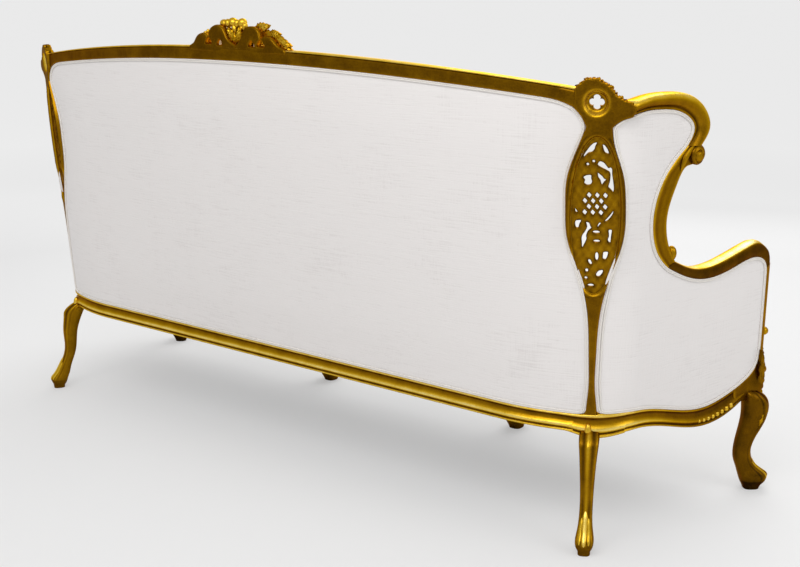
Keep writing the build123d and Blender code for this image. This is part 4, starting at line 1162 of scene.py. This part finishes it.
def front_leg(foot, kick, stations, shine=0.4, knee=262):
    """Carved front leg: knee leaf, small scrolls and a scrolled toe."""
    face = leg_face(stations, foot, kick, 42.0)
    extras = [leaf(face, (0, knee), -math.pi / 2, 110, 34, 9, lobes=4, base=5)]
    # The ridges down the toe are gilded bright as a painted highlight on the scrolled toe.
    extras.append(ridge(face, [(0, 20), (0, 42), (0, 92)], 17, 6, 2, 0.9))
    for way in (1, -1):
        heading = math.radians(-90 + way * 34)
        extras.append(leaf(face, (way * 8, knee - 4), heading, 52, 20, 8, way * -0.5, 3, 4))
        extras.append(boss(face, (way * 17, knee - 22), 11, 7, volute, 3))
        extras.append(ridge(face, [(way * 17, 18), (way * 15, 40), (way * 9, 78)], 13, 6, 3, 0.9))
    return joined([leg(stations, foot, kick, shine)] + extras)


def knee_board():
    """The leg's head carried back along the rail and swept up into the arm stump."""
    edge = [(594.5, 55), (597, -14), (601, -50), (566, -66), (528, -74), (500, -72), (484, -60)]
    loop = loop_of(knee_sweep, np.array(edge, float), step=4)

    def outer(u, v, gaps):
        swell = 12 * hump(u, 580, 42) * hump(v, -48, 34)
        return 0.5 - swell + quarter(gaps[0], 5.0)

    def shine(u, v, gaps):
        return 0.24 + 0.16 * hump(gaps[0], 2, 3)
    return plate([loop], on_side, outer, flat(26.0), 7.0, (1.5, 3.5, 6.0), shine)


def corner_leg():
    foot = np.array((corner_foot_x, front_foot_y, 0.0))
    diagonal = np.array((math.sqrt(0.5), -math.sqrt(0.5), 0.0))
    # The front corner is darker as painted shade: the darkened leaf and the low ridge, head and leg values.
    head = head_block(on_side_plan, (536, -52), (596, -14), 0.4)
    extras = [
        darkened(leaf(on_side, (588, -70), math.radians(93), 120, 24, 14, 0.1, 4, -3, under=0.6), 0.5),
        ridge(on_side, [(592, -62), (583, -50), (566, -47), (550, -53), (543, -66)], 9, 7, 8, 0.5),
    ]
    shaft = front_leg(foot, diagonal, front_stations[:-3] + knee_stations, 0.2, 236)
    return joined([shaft, head, knee_board()] + extras)


def middle_leg():
    return front_leg(np.array((leg_bay / 2, front_foot_y, 0.0)), np.array((0.0, -1.0, 0.0)), front_stations)


# Rails of the seat and back

def rear_seat_rail():
    xs = np.linspace(-rear_rail_half, rear_rail_half, 120)
    section = rounded(seat_moulding, rear_rail_thickness, 0.4)
    return strip(line_at(xs, rail_top), line_at(xs, rail_bottom), section, on_rear_rail, 120)


def front_seat_rail():
    """Moulded front rail with an apron, a shell and leaves in each bay."""
    xs = np.linspace(-front_rail_half, front_rail_half, 181)
    bay = (xs + leg_bay / 2) % leg_bay - leg_bay / 2
    drop = 16 * np.clip(1 - (bay / 315) ** 2, 0, 1)
    # Brightness is high on the rounds and low in the cove: partly rubbed gilding, partly painted highlight
    # and painted shade.
    face = [
        (0.0, 5.0, 0.5), (0.05, 0.5, 0.9), (0.14, -2.0, 0.95), (0.24, 0.5, 0.8), (0.3, 4.0, 0.2),
        (0.5, 4.5, 0.5), (0.72, 3.0, 0.5), (0.82, -0.5, 0.9), (0.92, 0.0, 0.9), (1.0, 6.0, 0.5),
    ]
    section = rounded(moulding(face, 54), front_rail_thickness, 0.4)
    rail = strip(line_at(xs, rail_top), line_at(xs, rail_bottom - drop), section, on_front_rail, 181)
    extras = []
    for x in (-leg_bay, 0, leg_bay):
        extras.append(boss(on_front_rail, (x, 281), 26, 12, rosette(9), base=3, stretch=0.9))
        for way in (1, -1):
            start = outward(way)
            near, far = (x + way * 20, 280), (x + way * 120, 284)
            extras.append(leaf(on_front_rail, near, start - way * 0.15, 120, 34, 8, bend=way * 0.3, base=3))
            extras.append(leaf(on_front_rail, far, start - way * 0.1, 110, 26, 7, bend=way * 0.2, base=3))
            extras.append(boss(on_front_rail, (x + way * 236, 290), 10, 7, volute, base=3))
    return joined([rail] + extras)


def back_top_rail():
    """Plain flat back, a rolled top edge with a painted highlight, and a moulded front with leaves."""
    xs = np.linspace(-top_rail_half, top_rail_half, 121)
    # The third column is brightness: the rolled top edge is a painted highlight and the groove under it
    # painted shade.
    face = [
        (0.0, 9.0, 1.0), (0.03, 3.5, 1.0), (0.09, 0.4, 0.9), (0.14, 2.0, 0.1), (0.19, 0.2, flat_gild + 0.04),
        (0.3, 0.0, flat_gild), (0.55, 0.0, flat_gild), (0.85, 0.0, flat_gild), (0.95, 1.0, 0.4),
        (1.0, 4.0, 0.4), (1.0, 20.0, 0.6), (0.92, 27.0, 0.9), (0.8, 29.0, 0.9), (0.7, 26.0, 0.35),
        (0.45, 25.0, 0.5), (0.25, 28.0, 0.8), (0.12, 29.5, 0.95), (0.03, 26.0, 0.9), (0.0, 20.0, 1.0),
    ]
    rail = strip(line_at(xs, upper_arch(xs)), line_at(xs, lower_arch(xs)), face, on_top_rail, 121)
    front = turned_over(on_top_rail, top_rail_front)
    extras = []
    for way in (1, -1):
        for step in range(4):
            x = way * (235 + 165 * step)
            z = float((upper_arch(x) + lower_arch(x)) / 2)
            heading = outward(way) - way * 0.04 * (step + 1)
            extras.append(leaf(front, (x - way * 70, z), heading, 130, 26, 5))
            extras.append(boss(front, (x + way * 78, z - 1), 9, 5, dome))
    return joined([rail] + extras)


def crest_outline():
    """The back of the crest as it was carved: the two halves differ a little."""
    left = [
        (0, 1146), (16, 1153), (32, 1166), (40, 1181), (52, 1192), (69, 1196), (86, 1191), (97, 1179),
        (101, 1166), (110, 1172), (122, 1174), (138, 1170), (149, 1160), (160, 1147), (174, 1139),
        (174, 1128)]
    right = [
        (0, 1146), (-10, 1154), (-20, 1167), (-27, 1181), (-39, 1192), (-57, 1195), (-74, 1191),
        (-85, 1180), (-90, 1165), (-98, 1170), (-112, 1172), (-128, 1167), (-142, 1156), (-158, 1146),
        (-176, 1137), (-176, 1128)]
    return loop_of(curve(right, step=4)[::-1], curve(left, step=4), [(0, 1124)], step=3.5)


def crest_carving():
    """Two-lobed pierced board, with flowers, leaves and berries in front of it that show past its edge."""
    back = float(top_y(63.0))

    def on_crest(x, z, n):
        return stacked(x, back - n, z)

    loops = [crest_outline()]
    for corners in (
            [(88, 1149), (100, 1163), (111, 1148)], [(48, 1146), (58, 1159), (68, 1146)],
            [(-48, 1146), (-58, 1159), (-68, 1145)], [(-78, 1147), (-90, 1162), (-104, 1146)]):
        loops.append(soften(loop_of(np.array(corners, float), step=2.5), 1))

    def outer(u, v, gaps):
        return quarter(gaps[0], 5.0) + 9.0 * (1 - smooth(np.min(gaps[1:], axis=0) / 4.0))

    def inner(u, v, gaps):
        return crest_thickness - quarter(gaps[0], 6.0)

    def shine(u, v, gaps):
        edge, holes = (hump(gap, 0, 2.5) for gap in (gaps[0], np.min(gaps[1:], axis=0)))
        return np.clip(flat_gild - 0.04 + 0.14 * edge + 0.5 * holes, 0, 1)

    board = plate(loops, on_crest, outer, inner, 8.0, (1.2, 3.0, 6.0), shine)
    front = turned_over(on_crest, crest_thickness)
    behind = []
    # Petals that show past the board from behind: middle, length, width, turn and depth
    for x, z, length, width, turn, depth in (
            (62, 1198, 14, 11, 10, 26), (46, 1199, 12, 10, 60, 24), (29, 1202, 14, 12, 20, 25),
            (12, 1199, 11, 9, 90, 23), (-3, 1201, 14, 12, -20, 26), (-15, 1192, 11, 8, 110, 23),
            (20, 1186, 13, 8, 70, 21), (-2, 1184, 12, 8, 120, 21), (110, 1173, 9, 5, 40, 22),
            (122, 1175, 8, 5, 100, 22), (134, 1171, 9, 5, 140, 22), (146, 1162, 9, 5, 130, 22)):
        stretch = (length / width, 1.0)
        behind.append(ball(on_crest, (x, z), width, depth, stretch, 0.8, math.radians(turn)))
    # Leaves that show past it: root, heading, length, width and depth
    for x, z, heading, length, width, depth in (
            (8, 1146, 62, 50, 24, 17), (4, 1146, 108, 44, 22, 19), (-48, 1184, 172, 56, 30, 24),
            (-100, 1180, 190, 40, 20, 26), (-112, 1178, 208, 72, 24, 22), (-116, 1168, 206, 60, 22, 25),
            (-128, 1158, 204, 56, 20, 23)):
        heading = math.radians(heading)
        behind.append(leaf(on_crest, (x, z), heading, length, width, 12, -0.2, 5, depth, 0.6))
    extras = [boss(front, (0, 1168), 26, 14, rosette(7), sides=42, steps=12)]
    for way in (1, -1):
        extras.append(boss(front, (way * 52, 1166), 22, 12, rosette(6), sides=36, steps=12))
        for x, z, r in ((24, 1150, 8), (80, 1160, 9), (76, 1146, 7), (104, 1152, 8)):
            extras.append(ball(front, (way * x, z), r, -3, (1.2, 1.0), 0.85))
        start = outward(way)
        for x, z, turn, length, width, bend in (
                (70, 1170, 0.3, 56, 28, -0.9), (92, 1160, 0.05, 76, 30, -0.5),
                (112, 1148, -0.1, 62, 22, -0.1)):
            heading = start + way * turn
            extras.append(leaf(front, (way * x, z), heading, length, width, 9, way * bend, 5, under=0.6))
    return joined([board] + behind + extras)


for name, carved in (
        ("rear_leg", rear_leg), ("front_corner_leg", corner_leg), ("front_middle_leg", middle_leg),
        ("corner_post", corner_post), ("post_splat", post_splat), ("wing_rail", wing_rail),
        ("wing_scroll", wing_scroll), ("arm_rail", arm_rail), ("arm_stump", arm_stump),
        ("side_seat_rail", side_seat_rail)):
    pair(name, carved(), "gilded_wood")
for name, carved, node in (
        ("rear_rail", rear_seat_rail, "rear_seat_rail"), ("front_rail", front_seat_rail, "front_seat_rail"),
        ("top_rail", back_top_rail, "back_top_rail"), ("crest", crest_carving, "crest_carving")):
    piece(name, carved(), "gilded_wood", [node])


# Upholstery outside: taut linen panels and double piping

def seen_on_back(edge, depth):
    """A post edge carried square to the post onto the back, as across and up."""
    n = np.zeros(len(edge))
    for _ in range(12):
        p = on_post(edge[:, 0], edge[:, 1], n)
        n = n + (p[:, 1] - (back_y(p[:, 0], p[:, 2]) - depth)) / -post_in[1]
    return p[:, [0, 2]]


def seen_on_side(edge, depth):
    """A post edge carried square to the post onto the side, as forward and up."""
    n = np.zeros(len(edge))
    for _ in range(12):
        p = on_post(edge[:, 0], edge[:, 1], n) - side_base
        s, v, deep = p @ side_along, p @ side_up, p @ side_in
        n = n + (depth + tuck(s, v) - deep) / np.dot(post_in, side_in)
    return np.stack((s, v), 1)


def back_outline(depth, lap=0.0, low=rail_top):
    edge = seen_on_back(np.concatenate((left_shoulder, post_left[1:])), depth)
    end = edge[0, 0]
    xs = np.linspace(-end, end, 200)
    last = corner_drop_start + corner_drop_run
    top = line_at(xs, lower_arch(np.clip(xs, -last, last)) + lap)
    right = edge[(edge[:, 1] > low) & (edge[:, 1] < top[-1, 1])]
    left = right[::-1] * (-1, 1)
    floor = line_at(np.linspace(left[0, 0], right[-1, 0], 200), low)
    return loop_of(floor[::-1], left, top, right, step=9.0)


def side_outline(depth):
    edge = seen_on_side(np.concatenate((post_right, right_shoulder[1:])), depth)
    edge = edge[edge[:, 1] < wing_inner[0, 1] + 12]
    top = wing_inner[wing_inner[:, 0] > edge[-1, 0]]
    rail = rail_upper[(rail_upper[:, 0] > edge[0, 0] + 2) & (rail_upper[:, 0] < knee_sweep[0, 0])]
    edge = edge[edge[:, 1] > 2]
    stump = stump_line[stump_line[:, 1] > knee_sweep[-1, 1]]
    return loop_of(edge, top, scroll_inner, arm_under, stump, knee_sweep[::-1], rail[::-1], step=7.0)


def panel(loop, place):
    def outer(u, v, gaps):
        return panel_recess + 1.5 - panel_bulge * smooth(gaps[0] / 140) - 2.0 * smooth(gaps[0] / 16)
    return plate([soften(inset(loop, -2.0))], place, outer, flat(panel_inner), 16.0, (3.0, 7.0, 12.0))


def double_piping(loop, place):
    """Two cords side by side along an outline."""
    lines = (soften(inset(loop, reach), 3) for reach in (piping_radius - 1.0, 3 * piping_radius - 1.5))
    return joined(tube(laid(place, line, piping_depth), piping_radius) for line in lines)


back_loop = back_outline(panel_recess)
side_loop = side_outline(panel_recess)
back_panel = piece("outside_back", panel(back_loop, on_back), "ivory_linen", ["outside_back_panel"], sharp=60)
side_panels = pair("outside_side_panel", panel(side_loop, on_tucked_side), "ivory_linen", sharp=60)
piece("back_cord", double_piping(back_loop, on_back), "cream_piping", ["back_piping"])
pair("side_piping", double_piping(side_loop, on_tucked_side), "cream_piping")


# Padding inside and the loose seat cushions

def puffed(shape, hold, voxel, pressure, cap):
    """A pad swollen as cloth under pressure, by no more than cap. What hold picks stays in place."""
    mesh = bpy.data.meshes.new("pad")
    mesh.from_pydata((shape.points * MM).tolist(), [], shape.faces)
    work = bpy.data.objects.new("pad", mesh)
    bpy.context.scene.collection.objects.link(work)
    remesh = work.modifiers.new("voxels", "REMESH")
    remesh.mode = "VOXEL"
    remesh.voxel_size = voxel * MM
    graph = bpy.context.evaluated_depsgraph_get()
    even = bpy.data.meshes.new_from_object(work.evaluated_get(graph))
    work.modifiers.clear()
    work.data = even
    start = np.empty(len(even.vertices) * 3)
    even.vertices.foreach_get("co", start)
    start = start.reshape(-1, 3)
    moved = start
    held = work.vertex_groups.new(name="held")
    held.add([int(i) for i in np.nonzero(hold(start / MM))[0]], 1.0, "REPLACE")
    cloth = work.modifiers.new("cloth", "CLOTH")
    cloth.settings.quality = 4
    cloth.settings.mass = 0.3
    cloth.settings.use_pressure = True
    cloth.settings.uniform_pressure_force = pressure
    cloth.settings.vertex_group_mass = "held"
    cloth.settings.effector_weights.gravity = 0.0
    cloth.point_cache.frame_end = cloth_frames
    for step in range(1, cloth_frames + 1):
        bpy.context.scene.frame_set(step)
    graph = bpy.context.evaluated_depsgraph_get()
    swollen = work.evaluated_get(graph).to_mesh()
    moved = np.empty(len(swollen.vertices) * 3)
    swollen.vertices.foreach_get("co", moved)
    moved = moved.reshape(-1, 3)
    work.evaluated_get(graph).to_mesh_clear()
    bpy.context.scene.frame_set(1)
    step = moved - start
    length = np.linalg.norm(step, axis=1)[:, None] + 1e-9
    moved = start + step * np.minimum(1, cap * MM / length)
    faces = [tuple(f.vertices) for f in even.polygons]
    bpy.data.objects.remove(work)
    return Shape(moved / MM, faces)


def relaxed(shape, times):
    """The same mesh with each point drawn to the middle of its neighbours."""
    edges = np.array([(a, b) for f in shape.faces for a, b in zip(f, f[1:] + f[:1])])
    count = np.bincount(edges[:, 0], minlength=len(shape.points))[:, None]
    points = shape.points
    for _ in range(times):
        total = np.zeros_like(points)
        np.add.at(total, edges[:, 0], points[edges[:, 1]])
        points = points + 0.6 * (total / np.maximum(count, 1) - points)
    return Shape(points, shape.faces, shape.gilt_and_painted_light)


def pad_shape(loop, place, start, edge, crown):
    def inner(u, v, gaps):
        lip = round_top(1 - np.clip(gaps[0] / 45, 0, 1))
        return start + 8 + (edge - 8) * lip + crown * smooth(gaps[0] / 220)
    return plate([loop], place, flat(start), inner, 22.0, (4.0, 10.0, 18.0, 30.0))


def subdivided(obj):
    obj.modifiers.new("smooth", "SUBSURF").render_levels = 1
    obj.modifiers["smooth"].levels = 1
    return obj


def inside_back():
    loop = soften(inset(back_outline(pad_start + 20, cover_lap, pad_low), 4.0), 4)
    body = pad_shape(loop, on_back, pad_start, edge=40.0, crown=26.0)

    def held(p):
        return back_y(p[:, 0], p[:, 2]) - p[:, 1] < pad_start + 9
    return relaxed(puffed(body, held, voxel=10.0, pressure=3.0, cap=9.0), 3)


def side_pad_outline():
    wing = inset_open(wing_inner, -cover_lap)
    scroll = inset_open(scroll_inner, -cover_lap)
    arm = inset_open(arm_under, -cover_lap)
    edge = seen_on_side(np.concatenate((post_right, right_shoulder[1:])), side_pad_start + 18)
    low = (pad_low - rail_top) / math.cos(side_tilt) + 3
    edge = edge[(edge[:, 1] < wing[0, 1]) & (edge[:, 1] > low)]
    wing = wing[wing[:, 0] > edge[-1, 0]]
    front = evenly([(578, 276), (589, low)], step=6)
    floor = line_at(np.linspace(589, edge[0, 0], 80), low)
    return loop_of(edge, wing, scroll, arm, front, floor, step=8.0)


def inset_open(line, reach):
    """An open edge moved sideways, to the right of its direction where reach is positive."""
    return line - beside(line) * reach


def inside_side():
    loop = soften(inset(side_pad_outline(), 3.0), 4)
    body = pad_shape(loop, on_tucked_side, side_pad_start, edge=30.0, crown=12.0)

    def held(p):
        away = p - side_base
        s, v = away @ side_along, away @ side_up
        return away @ side_in - tuck(s, v) < side_pad_start + 8
    return relaxed(puffed(body, held, voxel=8.0, pressure=3.0, cap=8.0), 3)


def border_cord(loop, place, depth):
    return tube(laid(place, soften(inset(loop, -1.0), 3), depth), border_radius)


back_border = soften(back_outline(pad_start + 20, cover_lap, pad_low), 4)
piece("inside_back_cord", border_cord(back_border, on_back, pad_start + 9), "cream_piping")
side_cord = border_cord(soften(side_pad_outline(), 4), on_tucked_side, side_pad_start + 8)
for side, cord in both_sides(side_cord):
    piece(f"{side}_inside_cord", cord, "cream_piping")
back_pad = subdivided(piece("inside_back", inside_back(), "ivory_linen", ["inside_back_pad"], sharp=180))
side_pads = [subdivided(p) for p in pair("inside_side_pad", inside_side(), "ivory_linen", sharp=180)]


def drawn_in(corners, draw):
    """A plan with rounded corners whose sides bow in a little."""
    corners = [np.array(c, float) for c in corners]
    runs = []
    for a, b in zip(corners, corners[1:] + corners[:1]):
        t = np.linspace(0.05, 0.95, 30)[:, None]
        across = (b - a) / np.linalg.norm(b - a)
        inward = np.array((-across[1], across[0]))
        runs.append(a + (b - a) * t + inward * draw * np.sin(math.pi * t))
    return soften(loop_of(*runs, step=9.0), 4)


def cushion_shape(corners):
    plan = drawn_in(corners, 9.0)
    rings = [laid(stacked, inset(plan, reach), pad_low + height) for height, reach in cushion_levels]
    return skin(rings), plan


def cushion(side, corners):
    """A loose squab: swollen box of linen with welts along both its seams."""
    start, plan = cushion_shape(corners)

    def held(p):
        return p[:, 2] < pad_low + 3
    shape = relaxed(puffed(start, held, voxel=9.0, pressure=5.0, cap=20.0), 4)
    tree = BVHTree.FromPolygons([Vector(p) for p in shape.points], shape.faces)
    welts = []
    for height in seam_heights:
        line = []
        for p, inward in zip(plan, normals_in(plan)):
            outside_point = Vector((*(p - inward * 60), pad_low + height))
            hit = tree.ray_cast(outside_point, Vector((*inward, 0)))[0]
            if hit is not None:
                line.append(np.array(hit))
        line = soften(evenly(np.array(line + line[:1]), step=7.0)[:-1], 2)
        welts.append(tube(line, welt_radius))
    body = f"{side}_squab"
    made = piece(f"{side}_cushion", shape, "ivory_linen", [f"seat_cushion_{side}"], body, sharp=180)
    piece(f"{side}_cushion_welts", joined(welts), "cream_piping", (), body)
    subdivided(made)


left_corners = [
    (outer_cushion_start, cushion_front_y), (1044, cushion_front_y), (957, 163),
    (outer_cushion_start, cushion_rear_y)]
right_corners = [(-x, y) for x, y in reversed(left_corners)]
centre_corners = [
    (-centre_cushion_half, cushion_front_y), (centre_cushion_half, cushion_front_y),
    (centre_cushion_half, cushion_rear_y), (-centre_cushion_half, cushion_rear_y)]
cushion("left", left_corners)
cushion("centre", centre_corners)
cushion("right", right_corners)


# What lies under the cushions

def box_of(name):
    """A node's lowest and highest corner in the frame that shapes are drawn in."""
    return (np.array(corner) / MM + (0, shift_y, 0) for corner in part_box(name))


def both_halves(half, step):
    """An outline from the points of its left half."""
    half = np.array(half, float)
    return loop_of(half, half[::-1] * (-1, 1), step=step)


def platform():
    low, high = box_of("seat_platform")
    half = [
        (0, low[1]), (1069, low[1]), (1080, low[1] + 11), (1000, 130), (930, 225),
        (rear_straight_half, high[1]), (0, high[1])]
    loop = soften(both_halves(half, 12.0), 2)

    def inner(u, v, gaps):
        return high[2] - 6 + 6 * smooth(gaps[0] / 25)
    return plate([loop], stacked, flat(low[2]), inner, 30.0, (4.0, 10.0, 18.0))


def strap(place, middle, start, end):
    """A jute strap along a surface, with rolled edges and a slight dish between its ends."""
    half = webbing_width / 2
    section = [
        (-half, 1.0), (-half + 1, 2.0), (-half + 3, 1.7), (half - 3, 1.7), (half - 1, 2.0), (half, 1.0),
        (half - 1, 0.0), (half - 3, 0.3), (-half + 3, 0.3), (-half + 1, 0.0)]
    across, depth = np.array(section).T
    t = np.linspace(0, 1, 24)[:, None]
    along = start + (end - start) * t
    return skin(place(middle + across[None] + 0 * t, along + 0 * across[None], depth[None] + 0 * t))


def on_seat(x, y, n):
    return stacked(x, y, rail_top + n)


def seat_straps():
    made = []
    for x in webbing_pitch * np.arange(-6, 7):
        rear = rear_y(abs(x) + webbing_width / 2) - rear_rail_thickness / 2
        made.append(strap(on_seat, x, front_face_y + 6, rear))
    return joined(made)


def back_straps():
    def place(x, z, n):
        return on_back(x, z, webbing_start + n)
    return joined(
        strap(place, webbing_pitch * i, back_strap_low, back_strap_high) for i in range(-5, 6))


def under_cloth():
    low, high = box_of("dust_cover")
    half = [
        (0, low[1]), (870, low[1]), (996, -130), (940, 105), (rear_straight_half, high[1]), (0, high[1])]

    def sag(u, v, gaps):
        return low[2] + 0.4 * np.sin(u / 40) * np.sin(v / 55) * smooth(gaps[0] / 60)
    loop = both_halves(half, 14.0)
    return plate([loop], stacked, sag, lambda u, v, gaps: sag(u, v, gaps) + 1.2, 26.0, (6.0, 16.0))


piece("seat_straps", seat_straps(), "jute_webbing", ["seat_webbing"])
piece("back_straps", back_straps(), "jute_webbing", ["back_webbing"])
dust_sheet = piece("under_cloth", under_cloth(), "dust_cloth", ["dust_cover"])
platform_piece = piece("seat_deck", platform(), "ivory_linen", ["seat_platform"], sharp=60)

for name, finish in (
        ("seat_cross_rails", "raw_beech"), ("corner_blocks", "raw_beech"), ("frame_dowels", "raw_beech"),
        ("back_uprights", "raw_beech"), ("back_stay_rails", "raw_beech"),
        ("side_stay_rail_left", "raw_beech"), ("side_stay_rail_right", "raw_beech"),
        ("block_screws", "screw_steel")):
    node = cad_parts[name]
    node.data.materials.clear()
    node.data.materials.append(finishes[finish])


# Studio

floor_reach = 400.0
# How bright the floor shows to the camera: tens of metres from the middle, and level. Dimmer a few metres out
# and brighter far off, this is painted shade and painted light on the floor.
floor_glow = ((0.1, 0.92), (0.3, 0.82), (0.46, 1.12), (0.7, 1.28))
floor_glow_share = 0.42
sky_strength = 0.62
far_wall = 0.81
# Soft lamps: place, what they point at, width and height, watts
lamps = {
    "key": ((0.3, -2.6, 3.8), (0, 0, 0.5), (3.0, 2.0), 62),
    "far_glow": ((1.6, -3.2, 1.75), (0, 0, 0.7), (4.2, 1.6), 30),
    "back_fill": ((-1.0, 2.4, 3.0), (0.1, 0, 0.6), (3.2, 1.6), 50),
    "side_fill": ((-3.1, -0.1, 2.0), (-1, 0, 0.6), (1.6, 1.2), 11),
}
photo_sensor = 36.0
photo_lens = 59.96
photo_spot = (-2.513, 2.826 - shift_y * MM, 1.342)
photo_heading = (0.6188, -0.7506, -0.2317)


def placed(name, data, spot=(0, 0, 0), heading=None):
    """An object put in the scene, looking along a heading if it has one."""
    made = bpy.data.objects.new(name, data)
    made.location = spot
    if heading:
        made.rotation_euler = Vector(heading).to_track_quat("-Z", "Y").to_euler()
    bpy.context.scene.collection.objects.link(made)
    return made


def floor():
    """A pale floor to the horizon, which glows for the camera, dimmer a few metres out and brighter far away:
    painted shade and painted light.
    """
    mesh = bpy.data.meshes.new("floor")
    corners = [(x * floor_reach, y * floor_reach, 0) for x, y in ((-1, -1), (1, -1), (1, 1), (-1, 1))]
    mesh.from_pydata(corners, [], [(0, 1, 2, 3)])
    material, tree, shader = new_material("pale_floor")
    tree.feed(shader, {"Base Color": (0.78, 0.78, 0.78, 1), "Roughness": 0.9, "Specular IOR Level": 0.1})
    spot = tree.add("TexCoord", {}, "Object")
    away = tree.add("VectorMath", {0: spot}, "Value", operation="LENGTH")
    glow = tree.ramp(tree.math("MULTIPLY", away, 0.1), [(at, (level,) * 3) for at, level in floor_glow])
    share = tree.math("MULTIPLY", tree.add("LightPath", {}, "Is Camera Ray"), floor_glow_share)
    tree.split_view(share, shader.outputs[0], tree.add("Emission", {"Color": glow}), "Material Output")
    mesh.materials.append(material)
    placed("floor", mesh)


def sky():
    """Even light from all round, and a far wall that the camera sees in its place."""
    world = bpy.data.worlds.new("studio")
    bpy.context.scene.world = world
    tree = Nodes(world)
    light = tree.nodes["Background"]
    tree.feed(light, {"Color": (1, 1, 1, 1), "Strength": sky_strength})
    wall = tree.add("Background", {"Color": (far_wall, far_wall, far_wall, 1)})
    seen = tree.add("LightPath", {}, "Is Camera Ray")
    tree.split_view(seen, light.outputs[0], wall, "World Output")


def studio():
    floor()
    sky()
    for name, (spot, target, size, watts) in lamps.items():
        light = bpy.data.lights.new(name, "AREA")
        light.shape = "RECTANGLE"
        light.size, light.size_y = size
        light.energy = watts
        placed(name, light, spot, Vector(target) - Vector(spot))


def camera():
    data = bpy.data.cameras.new("photo_view")
    data.sensor_width = photo_sensor
    data.lens = photo_lens
    bpy.context.scene.camera = placed("photo_view", data, photo_spot, photo_heading)


studio()
camera()
bpy.context.scene.view_settings.view_transform = "Standard"
